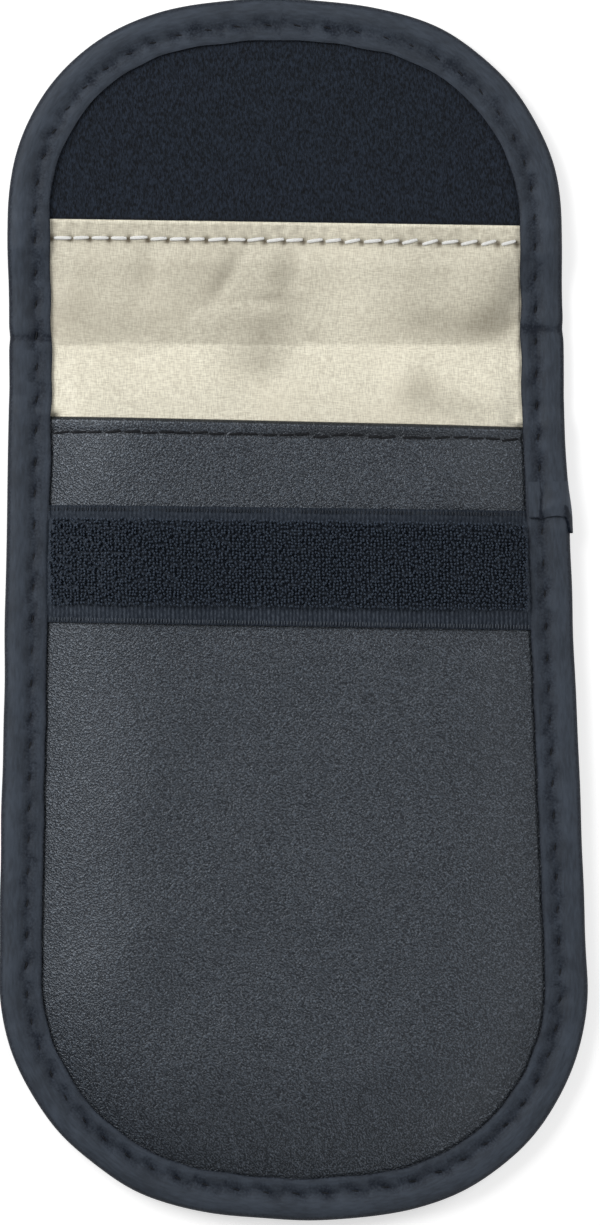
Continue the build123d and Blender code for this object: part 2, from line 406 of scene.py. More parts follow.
# Lowest edge of the pocket's sheets, and the width that they are cut to
POCKET_FOOT = OUTLINE.bottom_y + 1.7
SHEET_WIDTH = OUTLINE.pocket_width - 2 * LAYERS.sheet_edge


# Meshes


def sheet_grid(low: float, high: float, step: float, width: float) -> tuple[Array, Array]:
    """Grid that fills the outline between two places along the pouch.

    Args:
        low: Its lowest y.
        high: Its highest y.
        step: Wanted distance between corners.
        width: Widest part of the outline there.

    Returns:
        x and y of the corners.
    """
    y = steps(low, high, step)[:, None]
    x = steps(-1.0, 1.0, 2 * step / width) * OUTLINE.half_width(y, LAYERS.sheet_edge)
    return x, np.broadcast_to(y, x.shape)


@dataclass
class Cloth:
    """Corners and faces of one piece, with what its finish reads.

    Attributes:
        points: (n, 3) corners on the square pouch.
        faces: Corner numbers of each face.
        weave: (n, 3) place on the piece's own pattern.
        shade: (n,) share by which it is darkened: painted shade on the leather, cloths and binding, a
            random darker tone on the hooks, and darker threads in the hook tape's seams.
    """

    points: Array
    faces: list
    weave: Array
    shade: Array

    @classmethod
    def joined(cls, parts: list["Cloth"]) -> "Cloth":
        """Several parts as one.

        Args:
            parts: The parts.

        Returns:
            The cloth that holds them all.
        """
        faces, offset = [], 0
        for part in parts:
            faces += [[corner + offset for corner in face] for face in part.faces]
            offset += len(part.points)
        return cls(np.concatenate([part.points for part in parts]), faces,
                   np.concatenate([part.weave for part in parts]),
                   np.concatenate([part.shade for part in parts]))

    def area(self) -> float:
        """Area of all faces, each face taken as its first four corners.

        Returns:
            Square millimetres.
        """
        four = np.array([face[:4] for face in self.faces if len(face) >= 4])
        corner = self.points[four]
        return float(np.linalg.norm(np.cross(corner[:, 2] - corner[:, 0],
                                             corner[:, 3] - corner[:, 1]), axis=1).sum() / 2)


def quads(rows: int, columns: int) -> list:
    """Faces of a grid of corners, each as its four corner numbers."""
    here = np.arange(rows - 1)[:, None] * columns + np.arange(columns - 1)
    ahead = here + columns
    return np.stack([here, here + 1, ahead + 1, ahead], axis=-1).reshape(-1, 4).tolist()


def thick_cloth(top: Array, bottom: Array, shade: Array,
                weave: Array | None = None) -> Cloth:
    """Closed sheet between two grids of corners.

    Args:
        top: (rows, columns, 3) upper corners.
        bottom: (rows, columns, 3) lower corners.
        shade: (rows, columns) shade of the upper corners.
        weave: (rows, columns, 3) place on the pattern, or None for the corners' own places.

    Returns:
        The sheet.
    """
    rows, columns = top.shape[:2]
    total = rows * columns
    upper = quads(rows, columns)
    lower = [[corner + total for corner in reversed(face)] for face in upper]
    rim = [*range(columns), *range(2 * columns - 1, total, columns),
           *range(total - 2, total - columns - 1, -1), *range(total - 2 * columns, 0, -columns)]
    walls = [[after, before, before + total, after + total]
             for before, after in zip(rim, rim[1:] + rim[:1])]
    points = np.concatenate([top.reshape(-1, 3), bottom.reshape(-1, 3)])
    pattern = points if weave is None else np.concatenate([weave.reshape(-1, 3)] * 2)
    return Cloth(points, upper + lower + walls, pattern, np.concatenate([shade.ravel()] * 2))


def threads(paths: Array, side: Array, radius: Array, sides: int = 6,
            flatness: float = 1.0) -> Cloth:
    """Threads, each along one path in one plane and closed at both ends.

    Args:
        paths: (threads, points, 3) middle lines.
        side: (threads, 3) unit normal of each path's plane.
        radius: (points,) thickness along a thread.
        sides: Sides of the section.
        flatness: The section's height over its width.

    Returns:
        All the threads.
    """
    count, length = paths.shape[:2]
    ahead = np.gradient(paths, axis=1)
    ahead = ahead / np.linalg.norm(ahead, axis=2, keepdims=True)
    across = np.broadcast_to(side[:, None, :], paths.shape)
    over = np.cross(across, ahead) * flatness
    angle = np.arange(sides) * math.tau / sides
    ring = across[:, :, None, :] * np.cos(angle)[:, None] + over[:, :, None, :] * np.sin(angle)[:, None]
    points = paths[:, :, None, :] + ring * radius[:, None, None]
    strip = np.array(quads(length, sides + 1))
    strip = strip // (sides + 1) * sides + strip % (sides + 1) % sides
    faces = []
    for number in range(count):
        first = number * length * sides
        faces += (strip + first).tolist()
        faces.append([first + corner for corner in reversed(range(sides))])
        faces.append([first + (length - 1) * sides + corner for corner in range(sides)])
    walked = np.linalg.norm(np.diff(paths, axis=1), axis=2).cumsum(axis=1)
    walked = np.concatenate([np.zeros((count, 1)), walked], axis=1)
    weave = places(walked[:, :, None], angle * radius.max(), 0.0)
    return Cloth(points.reshape(-1, 3), faces, weave.reshape(-1, 3), np.zeros(count * length * sides))


# Finishes


def tone(red: float, green: float, blue: float) -> Colour:
    """A colour as it looks on a screen, 0 to 255, as linear values."""
    parts = [value / 255 for value in (red, green, blue)]
    linear = [part / 12.92 if part <= 0.04045 else ((part + 0.055) / 1.055) ** 2.4 for part in parts]
    return (*linear, 1.0)


def tinted(base: Colour, shares: float | tuple[float, float, float]) -> Colour:
    """A colour with its red, green and blue multiplied, all by one share or each by its own."""
    return (*(np.array(base[:3]) * shares).tolist(), 1.0)


COOL_GLEAM = tone(225, 238, 255)


@dataclass(frozen=True)
class Wire:
    """An output socket that takes part in expressions, each of which adds Math nodes."""

    tree: "ShaderTree"
    socket: bpy.types.NodeSocket

    def _math(self, operation: str, *terms: "Wire | float") -> "Wire":
        """One Math node on the terms."""
        return self.tree.node("ShaderNodeMath", {"operation": operation}, dict(enumerate(terms)))

    def __add__(self, other: "Wire | float") -> "Wire":
        """Sum."""
        return self._math("ADD", self, other)

    def __sub__(self, other: "Wire | float") -> "Wire":
        """Difference."""
        return self._math("SUBTRACT", self, other)

    def __mul__(self, other: "Wire | float") -> "Wire":
        """Product."""
        return self._math("MULTIPLY", self, other)

    def __rsub__(self, other: float) -> "Wire":
        """Difference from a number."""
        return self._math("SUBTRACT", other, self)

    __radd__ = __add__
    __rmul__ = __mul__

    def ramp(self, low: float, high: float) -> "Wire":
        """0 below low and 1 above high, with a smooth change between."""
        return self.tree.node("ShaderNodeMapRange", {"interpolation_type": "SMOOTHSTEP"},
                              {"Value": self, "From Min": low, "From Max": high})


class ShaderTree:
    """A tree of shader nodes that is built by expressions."""

    def __init__(self, owner: bpy.types.Material | bpy.types.World) -> None:
        """Empties the owner's tree."""
        owner.use_nodes = True
        self.nodes = owner.node_tree.nodes
        self.links = owner.node_tree.links
        self.nodes.clear()

    def node(self, kind: str, settings: dict | None = None, inputs: dict | None = None,
             output: int | str = 0) -> Wire | None:
        """Adds a node.

        Args:
            kind: The node's type.
            settings: Its own settings, set first.
            inputs: Values or wires by socket number, name or identifier.
            output: The socket to return.

        Returns:
            The chosen output, or None for a node without one.
        """
        made = self.nodes.new(kind)
        for key, value in (settings or {}).items():
            setattr(made, key, value)
        for key, value in (inputs or {}).items():
            socket = self._socket(made.inputs, key)
            if isinstance(value, Wire):
                self.links.new(value.socket, socket)
            else:
                socket.default_value = value
        return Wire(self, self._socket(made.outputs, output)) if made.outputs else None

    @staticmethod
    def _socket(sockets: bpy.types.bpy_prop_collection, key: int | str) -> bpy.types.NodeSocket:
        """A socket by number, identifier or name."""
        if isinstance(key, int):
            return sockets[key]
        return next((socket for socket in sockets if socket.identifier == key), None) or sockets[key]


class Finish(ShaderTree):
    """A material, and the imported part's slot that it belongs to.

    Attributes:
        ACROSS_GRID: Turn that keeps a noise's own grid from showing along the pattern.
    """

    ACROSS_GRID = (0.6, 0.5, 0.9)

    def __init__(self, name: str, base: Colour = (1.0, 1.0, 1.0, 1.0), slot: str = "") -> None:
        """Makes the material and its nodes.

        Args:
            name: The material's name.
            base: Its main colour, where the finish takes one.
            slot: The record's material slot, where that has another name.
        """
        self.slot = slot or name
        self.base = base
        self.material = bpy.data.materials.new(name)
        super().__init__(self.material)
        self.dress()

    def dress(self) -> None:
        """Builds the nodes. A bare finish has none."""

    def weave(self, *scale: float) -> Wire:
        """The place on the piece's pattern.

        Args:
            scale: One number or one for each axis.

        Returns:
            The place, scaled.
        """
        place = self.node("ShaderNodeAttribute", {"attribute_name": "weave"}, output="Vector")
        return self.node("ShaderNodeVectorMath", {"operation": "MULTIPLY"},
                         {0: place, 1: scale if len(scale) == 3 else scale * 3})

    def shade(self) -> Wire:
        """The piece's shade."""
        return self.node("ShaderNodeAttribute", {"attribute_name": "shade"}, output="Fac")

    def noise(self, *scale: float, detail: float = 2.0, roughness: float = 0.5) -> Wire:
        """Soft noise on the pattern, 0 to 1.

        Args:
            scale: Waves per mm, one number or one for each axis.
            detail: Finer waves added.
            roughness: Share of the finer waves.

        Returns:
            The noise.
        """
        place = self.node("ShaderNodeVectorRotate", {"rotation_type": "EULER_XYZ"},
                          {"Vector": self.weave(*scale), "Rotation": self.ACROSS_GRID})
        return self.node("ShaderNodeTexNoise", {}, {"Vector": place, "Scale": 1.0,
                                                    "Detail": detail, "Roughness": roughness})

    def mix(self, share: Wire | float, low: "Wire | tuple", high: "Wire | tuple") -> Wire:
        """Colour between two."""
        return self.node("ShaderNodeMix", {"data_type": "RGBA"},
                         {"Factor_Float": share, "A_Color": low, "B_Color": high}, "Result_Color")

    def bump(self, height: Wire, depth: float) -> Wire:
        """Fine relief as a normal, from 0 to 1 over the surface and the real height of 1 in mm."""
        return self.node("ShaderNodeBump", {}, {"Strength": 1.0, "Distance": depth * MM, "Height": height})

    def surface(self, **sockets: "Wire | float | tuple") -> None:
        """Ends the tree in the surface shader, its sockets named with underscores for spaces."""
        inputs = {name.replace("_", " "): value for name, value in sockets.items()}
        shader = self.node("ShaderNodeBsdfPrincipled", {}, inputs)
        self.node("ShaderNodeOutputMaterial", {}, {"Surface": shader})


class PebbledLeather(Finish):
    """Pebbled artificial leather, its grain's tops painted paler as glints, and darkened where the piece's
    shade paints shade.
    """

    def dress(self) -> None:
        """Builds the nodes."""
        pebbles = self.noise(3.3, detail=0.5, roughness=0.6)
        pores = self.noise(5.6, detail=0.5)
        patches = self.noise(0.35, detail=3.0)
        relief = pebbles * 0.6 + pores * 0.4
        height = relief.ramp(0.3, 0.7)
        # The grain is darker in its hollows; its paler specks and brightest tops are painted glints.
        glint_flecks = relief.ramp(0.4, 0.62)
        dark, pale, glint_tips = (tinted(self.base, shares) for shares in (
            (0.08, 0.13, 0.22), (2.9, 2.75, 2.55), (6.4, 6.0, 5.4)))
        grain = self.mix(relief.ramp(0.58, 0.72), self.mix(glint_flecks, dark, pale), glint_tips)
        # Random patches fade it towards the plain colour.
        patches_and_painted_light = self.mix(patches.ramp(0.45, 0.7) * 0.2, grain, self.base)
        # Painted shade from the piece's shade.
        shaded = self.mix(self.shade(), patches_and_painted_light, tone(9, 12, 17))
        self.surface(Base_Color=shaded, Roughness=0.45 - glint_flecks * 0.1, Specular_IOR_Level=0.74,
                     Specular_Tint=tone(238, 246, 255), Normal=self.bump(height, 0.085))


class BoundTape(Finish):
    """Smooth binding tape with a faint nap, darkened by painted shade with fuzzy edges, most of all along
    its seam.
    """

    def dress(self) -> None:
        """Builds the nodes."""
        nap = self.noise(2.4, 0.5, 1.0, detail=3.0, roughness=0.6)
        mottle = self.noise(0.3, 0.16, 0.1)
        yarn = self.noise(1.6, 5.0, 1.0, detail=1.0)
        cloth = self.mix((nap * 0.55 + mottle * 0.45).ramp(0.28, 0.74),
                         tinted(self.base, 0.68), tinted(self.base, 1.36))
        fluff = self.noise(2.6, 2.6, 1.0, roughness=0.6)
        # Painted shade with noisy edges: along the seam, at the stitches, beside the lip, at the kinks and
        # on the roll's outer edge.
        fuzz = (self.shade() + (fluff - 0.5) * self.shade() * 2.2).ramp(0.0, 1.0)
        seam = self.mix(fuzz, cloth, tone(6, 16, 30))
        self.surface(Base_Color=seam, Roughness=0.62 + nap * 0.12, Specular_IOR_Level=0.28,
                     Sheen_Weight=0.06, Sheen_Roughness=0.4, Sheen_Tint=tone(150, 165, 185),
                     Normal=self.bump(nap * 0.6 + yarn * 0.4, 0.05))


class WovenLining(Finish):
    """Pale conductive lining, a fine crossed weave."""

    def dress(self) -> None:
        """Builds the nodes."""
        warp = self.noise(6.4, 0.9, 1.0, detail=1.0, roughness=0.6)
        weft = self.noise(0.9, 6.4, 1.0, detail=1.0, roughness=0.6)
        patches = self.noise(0.06, 0.08, 0.05, detail=3.0)
        weave = warp * 0.5 + weft * 0.5
        thread = self.mix(weave.ramp(0.3, 0.7), tone(205, 198, 179), tone(250, 245, 224))
        cloth = self.mix(patches.ramp(0.4, 0.75) * 0.3, thread, tone(226, 217, 195))
        # Painted shade in the needle holes, under and beside the hem's row, above the crease and in the
        # hollows.
        shaded = self.mix(self.shade(), cloth, tone(92, 82, 64))
        self.surface(Base_Color=shaded, Roughness=0.6 - weave * 0.12, Specular_IOR_Level=0.45,
                     Normal=self.bump(weave, 0.09))


class BrushedLoops(Finish):
    """Brushed knitted loops, almost black, with fibres along the pouch."""

    def dress(self) -> None:
        """Builds the nodes."""
        fibres = self.noise(5.0, 1.5, 1.0, roughness=0.6)
        tufts = self.noise(2.2, 1.6, 1.0)
        height = fibres * 0.7 + tufts * 0.5
        cloth = self.mix((fibres * 0.6 + tufts * 0.4).ramp(0.36, 0.68), tone(1, 4, 9), tone(34, 43, 56))
        # Painted shade beside the binding's lip and along the lining's hem.
        shaded = self.mix(self.shade(), cloth, tone(6, 8, 13))
        self.surface(Base_Color=shaded, Roughness=0.85, Specular_IOR_Level=0.25,
                     Sheen_Weight=0.25, Sheen_Roughness=0.5, Sheen_Tint=tone(90, 110, 140),
                     Normal=self.bump(height, 0.22))


class RibbedTape(Finish):
    """Woven ground of the hook tape, with ribs across its bare edges."""

    def dress(self) -> None:
        """Builds the nodes."""
        yarn = self.noise(3.2, 1.6, 1.0, detail=3.0, roughness=0.65)
        cloth = self.mix(yarn.ramp(0.35, 0.7), tone(36, 42, 51), tone(72, 79, 89))
        # Painted shade at the tape's edges, in its rib valleys and between the hooks; the upper selvedge
        # is darker.
        shaded = self.mix(self.shade(), cloth, tone(16, 22, 31))
        self.surface(Base_Color=shaded, Roughness=0.65, Specular_IOR_Level=0.25,
                     Specular_Tint=COOL_GLEAM, Normal=self.bump(yarn, 0.08))


class NylonHooks(Finish):
    """Stiff dark nylon hooks."""

    def dress(self) -> None:
        """Builds the nodes."""
        speck = self.noise(0.8)
        pale = self.mix(speck.ramp(0.35, 0.75), tone(62, 71, 83), tone(74, 84, 97))
        colour = self.mix(self.shade(), pale, tone(61, 69, 81))
        self.surface(Base_Color=colour, Roughness=0.5 + speck * 0.1, Specular_IOR_Level=0.3,
                     Specular_Tint=COOL_GLEAM)


class SewingThread(Finish):
    """Twisted sewing thread."""

    def dress(self) -> None:
        """Builds the nodes."""
        strands = self.node("ShaderNodeTexWave", {"wave_type": "BANDS", "bands_direction": "DIAGONAL"},
                            {"Vector": self.weave(3.0), "Scale": 1.0, "Distortion": 0.6}, "Fac")
        thread = self.mix(self.shade(), self.mix(strands, tinted(self.base, 0.95), self.base),
                          tone(14, 19, 27))
        self.surface(Base_Color=thread, Roughness=0.55 + strands * 0.1,
                     Specular_IOR_Level=0.35, Normal=self.bump(strands, 0.05))


class ShieldWeave(Finish):
    """Grey metal-coated cloth between the leather and the lining."""

    def dress(self) -> None:
        """Builds the nodes."""
        weave = self.noise(2.5)
        self.surface(Base_Color=self.mix(weave, tone(120, 122, 124), tone(168, 169, 170)),
                     Metallic=0.6, Roughness=0.4 + weave * 0.15, Normal=self.bump(weave, 0.05))


class Wardrobe:
    """All the pouch's finishes."""

    def __init__(self) -> None:
        """Builds each finish once."""
        self.outer = PebbledLeather("outer_leather", tone(32, 37, 44))
        self.front = PebbledLeather("front_leather", tone(32, 37, 44))
        self.tape = BoundTape("binding_tape", tone(53, 60, 70))
        self.shield = ShieldWeave("shield_cloth")
        self.lining = WovenLining("lining_cloth")
        self.loops = BrushedLoops("loop_cloth")
        self.hook_ground = RibbedTape("hook_tape")
        self.hooks = NylonHooks("hooks")
        self.dark_thread = SewingThread("dark_thread", tone(13, 16, 22), "binding_tape")
        self.pale_thread = SewingThread("pale_thread", tone(92, 100, 110), "hook_tape")
        self.white_thread = SewingThread("white_thread", (1.0, 1.0, 0.97, 1.0), "lining_cloth")


# Pieces


class Rides(Enum):
    """What a piece moves with: one body, or none for a piece across the fold, which stays fixed where it
    lies.
    """

    POCKET = "pocket"
    FLAP = "flap"
    BOTH = "both"


class Held(Enum):
    LAID = "laid"
    FOLDED = "folded"
    STRETCHED = "stretched"


def in_scene(name: str, data: bpy.types.ID) -> bpy.types.Object:
    """An object in the scene for a mesh, a lamp or a camera."""
    made = bpy.data.objects.new(name, data)
    bpy.context.scene.collection.objects.link(made)
    return made


def make_piece(name: str, cloth: Cloth, finish: Finish, rides: Rides, *nodes: str) -> bpy.types.Object:
    """A mesh object in its finish, moved to where it lies.

    Args:
        name: The object's name.
        cloth: Its corners and faces.
        finish: Its finish.
        rides: What it moves with.
        nodes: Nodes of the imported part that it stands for.

    Returns:
        The object.
    """
    mesh = bpy.data.meshes.new(name)
    mesh.from_pydata((LIE.place(cloth.points) * MM).tolist(), [], cloth.faces)
    work = bmesh.new()
    work.from_mesh(mesh)
    bmesh.ops.recalc_face_normals(work, faces=work.faces)
    work.to_mesh(mesh)
    work.free()
    weave = mesh.attributes.new("weave", "FLOAT_VECTOR", "POINT")
    weave.data.foreach_set("vector", cloth.weave.astype(np.float32).ravel())
    shade = mesh.attributes.new("shade", "FLOAT", "POINT")
    shade.data.foreach_set("value", cloth.shade.astype(np.float32))
    mesh.shade_smooth()
    mesh.set_sharp_from_angle(angle=SHARP_EDGE)
    piece = in_scene(name, mesh)
    mesh.materials.append(finish.material)
    LOG.info("%s: %d corners", name, len(cloth.points))
    if nodes:
        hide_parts(*nodes)
    if rides is Rides.BOTH:
        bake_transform(piece)
    else:
        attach(piece, rides.value)
    return piece


def make_sheet(name: str, cloth: Cloth, finish: Finish, rides: Rides, nodes: tuple[str, ...],
               flat: tuple[float, float], held: Held, *under: str) -> None:
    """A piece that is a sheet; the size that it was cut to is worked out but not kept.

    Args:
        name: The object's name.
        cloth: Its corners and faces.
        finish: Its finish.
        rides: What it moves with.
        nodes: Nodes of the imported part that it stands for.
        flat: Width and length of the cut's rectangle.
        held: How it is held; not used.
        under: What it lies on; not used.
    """
    piece = make_piece(name, cloth, finish, rides, *nodes)
    area = min(cloth.area() / 2, flat[0] * flat[1])
    flat[0] * MM
    flat[1] * MM
    area * MM * MM


@dataclass(frozen=True)
class BackLayers:
    """The sheets under everything: outer leather and shield cloth, one piece each.

    Attributes:
        ends: How far they stop short of the outline at tip and bottom.
        sag: How far they sink in the middle, where no binding lies under them.
        sag_start: Inset at which they start to sink.
        sag_run: Length over which they sink.
    """

    wardrobe: Wardrobe
    step: float = 1.1
    ends: float = LAYERS.sheet_edge + 0.4
    sag: float = 0.42
    sag_start: float = 7.0
    sag_run: float = 16.0
    unevenness: Ripples = Ripples(seed=5, shortest=16.0, longest=50.0, height=0.05)

    def _sheet(self, low: float, thick: float) -> Cloth:
        """A sheet that fills the outline.

        Args:
            low: Height of its underside where it is bound.
            thick: Its thickness.

        Returns:
            The sheet.
        """
        x, y = sheet_grid(OUTLINE.bottom_y + self.ends, OUTLINE.tip_y - self.ends, self.step,
                          OUTLINE.pocket_width)
        loose = smooth(self.sag_start, self.sag_start + self.sag_run, OUTLINE.inset(x, y))
        z = low - loose * (self.sag + self.unevenness.at(x, y))
        return thick_cloth(places(x, y, z + thick), places(x, y, z), np.zeros(x.shape))

    def build(self) -> None:
        """Makes the leather and the shield cloth."""
        flat = (SHEET_WIDTH, OUTLINE.flap_length + OUTLINE.pocket_length - 2 * LAYERS.sheet_edge)
        for name, low, thick, finish, nodes, under in (
                ("outer_leather_sheet", LAYERS.tape, LAYERS.leather, self.wardrobe.outer,
                 ("back_shell", "fold_shell", "flap_shell"), "edge_binding"),
                ("back_shield_cloth", LAYERS.shield_low + 0.01, LAYERS.shield - 0.03,
                 self.wardrobe.shield, ("back_shield", "fold_shield", "flap_shield"),
                 "outer_leather_sheet")):
            make_sheet(name, self._sheet(low, thick), finish, Rides.BOTH, nodes, flat, Held.LAID, under)


@dataclass(frozen=True)
class LoopPanel:
    """The loop cloth that fills the flap.

    Attributes:
        foot: How far above the fold line it starts.
        hem_y: Place of the lining's hem on it.
    """

    wardrobe: Wardrobe
    foot: float = 14.6
    hem_y: float = 61.95
    step: float = 0.42
    ends: float = LAYERS.sheet_edge + 0.4
    nap: Ripples = Ripples(seed=21, shortest=0.9, longest=2.2, height=0.028, stretch=2.0, count=30)
    unevenness: Ripples = Ripples(seed=22, shortest=10.0, longest=30.0, height=0.05)

    def build(self) -> None:
        """Makes the loop panel."""
        x, y = sheet_grid(OUTLINE.fold_y + self.foot, OUTLINE.tip_y - self.ends, self.step,
                          OUTLINE.flap_width)
        inset = OUTLINE.inset(x, y)
        free = smooth(LAYERS.binding_width - 0.5, LAYERS.binding_width + 2.5, inset)
        fuzz = self.nap.at(x, y) * free - 0.05 * free
        top = places(x, y, LAYERS.loop_top + fuzz + self.unevenness.at(x, y) * free * 0.6)
        bottom = places(x, y, LAYERS.lining_low + 0.02)
        # Painted shadow: a line beside the binding's lip and one along the lining's hem.
        shade = 0.2 * hump(inset, LAYERS.binding_width, 0.55) + 0.6 * hump(y, self.hem_y, 0.32)
        flat = (OUTLINE.flap_width - 2 * LAYERS.sheet_edge,
                OUTLINE.flap_length - self.foot - LAYERS.sheet_edge)
        make_sheet("loop_cloth_panel", thick_cloth(top, bottom, unit(shade)), self.wardrobe.loops,
                   Rides.FLAP, ("flap_loop_panel",), flat, Held.LAID, "back_shield_cloth")


@dataclass(frozen=True)
class Stitches:
    """A straight row of stitches across the pouch, each sinking into the cloth at both ends.

    Attributes:
        y: Place of the row along the pouch.
        tilt: Rise of the row per mm towards the right.
        pitch: From one stitch to the next.
        length: What shows of a stitch.
        radius: Half the thread's thickness.
        slant: How much each stitch turns out of the row, in radians.
        reach: Half the row's length.
        slant_more: How much the slant grows from the middle of the row to its right end.
        jitter: How far each stitch strays.
        sink: How deep its ends go into the cloth.
        crown: Height that the thread gains in the middle.
        flatness: Height of the thread's section over its width.
    """

    y: float
    tilt: float
    pitch: float
    length: float
    radius: float
    slant: float
    reach: float
    slant_more: float = 0.0
    seed: int = 3
    jitter: float = 0.03
    sink: float = 0.45
    crown: float = 0.12
    flatness: float = 0.75

    def level(self, x: Array) -> Array:
        """The row's y at each x."""
        return self.y + self.tilt * x

    def centres(self) -> Array:
        """(n, 2) middle of each stitch."""
        count = int(2 * self.reach / self.pitch)
        x = (np.arange(count) - (count - 1) / 2) * self.pitch
        return places(x, self.level(x))

    def sew(self, surface: Callable[[Array, Array], Array]) -> Cloth:
        """Threads of the row.

        Args:
            surface: Height of the cloth at each x and y.

        Returns:
            The threads.
        """
        random = np.random.default_rng(self.seed)
        middle = self.centres()
        count = len(middle)
        middle = middle + random.normal(0.0, self.jitter, (count, 2)) * [1.0, 0.5]
        angle = self.slant + self.slant_more * middle[:, 0] / self.reach + self.tilt
        angle = angle + random.normal(0.0, 0.04, count)
        half = self.length / 2 * (1.0 + random.normal(0.0, 0.05, count))
        # From end to end: share of the half length, rise (sinking where negative) and thickness
        share = np.array([-1.0, -0.97, -0.86, -0.5, 0.0, 0.5, 0.86, 0.97, 1.0])
        lift = np.array([-1.0, -0.45, 0.55, 0.95, 1.0, 0.95, 0.55, -0.45, -1.0])
        rise = np.where(lift < 0.0, lift * self.sink, lift * (self.radius * 0.55 + self.crown * 0.4))
        way = places(np.cos(angle), np.sin(angle))
        flat = middle[:, None, :] + way[:, None, :] * (half[:, None] * share)[:, :, None]
        paths = places(flat[..., 0], flat[..., 1], surface(flat[..., 0], flat[..., 1]) + rise)
        radius = self.radius * np.array([0.6, 0.7, 0.85, 1.0, 1.05, 1.0, 0.85, 0.7, 0.6])
        return threads(paths, places(-way[:, 1], way[:, 0], 0.0), radius, 8, self.flatness)

    def dents(self, x: Array, y: Array, depth: float, width: float) -> Array:
        """How far the needle holes draw the cloth down.

        Args:
            x: Places across the pouch.
            y: Places along it.
            depth: Depth of a dent.
            width: Its half width.

        Returns:
            The depth at each place.
        """
        off_row = y - self.level(x)
        offset = (x - self.centres()[0, 0]) / self.pitch + 0.5
        nearest = (offset - np.round(offset)) * self.pitch
        away = (nearest / width) ** 2 + (off_row / width) ** 2
        near = (np.abs(off_row) < 3 * width) & (np.abs(x) < self.reach + width)
        return np.where(near, depth * np.exp(-away), 0.0)


@dataclass(frozen=True)
class Fold:
    """A soft fold in the cloth, with a steep and a gentle flank.

    Attributes:
        start: Where it begins.
        middle: A place that it bends towards.
        end: Where it runs out.
        depth: How far its line lies below the cloth, negative for a ridge.
        near: Width of the flank on the right of its way from start to end.
        far: Width of the flank on its left.
    """

    start: tuple[float, float]
    middle: tuple[float, float]
    end: tuple[float, float]
    depth: float
    near: float
    far: float

    def sink(self, x: Array, y: Array) -> Array:
        """How far the fold lowers the cloth.

        Args:
            x: Places across the pouch.
            y: Places along it.

        Returns:
            The depth at each place.
        """
        share = np.linspace(0.0, 1.0, 13)[:, None]
        start, middle, end = (np.array(place) for place in (self.start, self.middle, self.end))
        line = start * (1 - share) ** 2 + 2 * middle * share * (1 - share) + end * share ** 2
        away = places(x, y)[..., None, :] - line
        distance = np.hypot(away[..., 0], away[..., 1])
        nearest = distance.argmin(axis=-1)
        ahead = np.gradient(line, axis=0)[nearest]
        offset = np.take_along_axis(away, nearest[..., None, None], axis=-2)[..., 0, :]
        left = ahead[..., 0] * offset[..., 1] - ahead[..., 1] * offset[..., 0] > 0.0
        width = np.where(left, self.far, self.near)
        return self.depth * hump(distance.min(axis=-1), 0.0, width)


@dataclass(frozen=True)
class Dusk:
    """A soft painted shade in a hollow of the cloth.

    Attributes:
        x: Its middle.
        y: Its middle.
        wide: Half its width.
        tall: Half its length, at right angles to the width.
        turn: Turn of the width out of the x axis, in degrees.
        share: How dark it is.
    """

    x: float
    y: float
    wide: float
    tall: float
    turn: float
    share: float

    def at(self, x: Array, y: Array) -> Array:
        """Darkness of the hollow.

        Args:
            x: Places across the pouch.
            y: Places along it.

        Returns:
            The darkness at each place.
        """
        cosine, sine = math.cos(math.radians(self.turn)), math.sin(math.radians(self.turn))
        across = (x - self.x) * cosine + (y - self.y) * sine
        along = (y - self.y) * cosine - (x - self.x) * sine
        return self.share * hump(across, 0.0, self.wide) * hump(along, 0.0, self.tall)


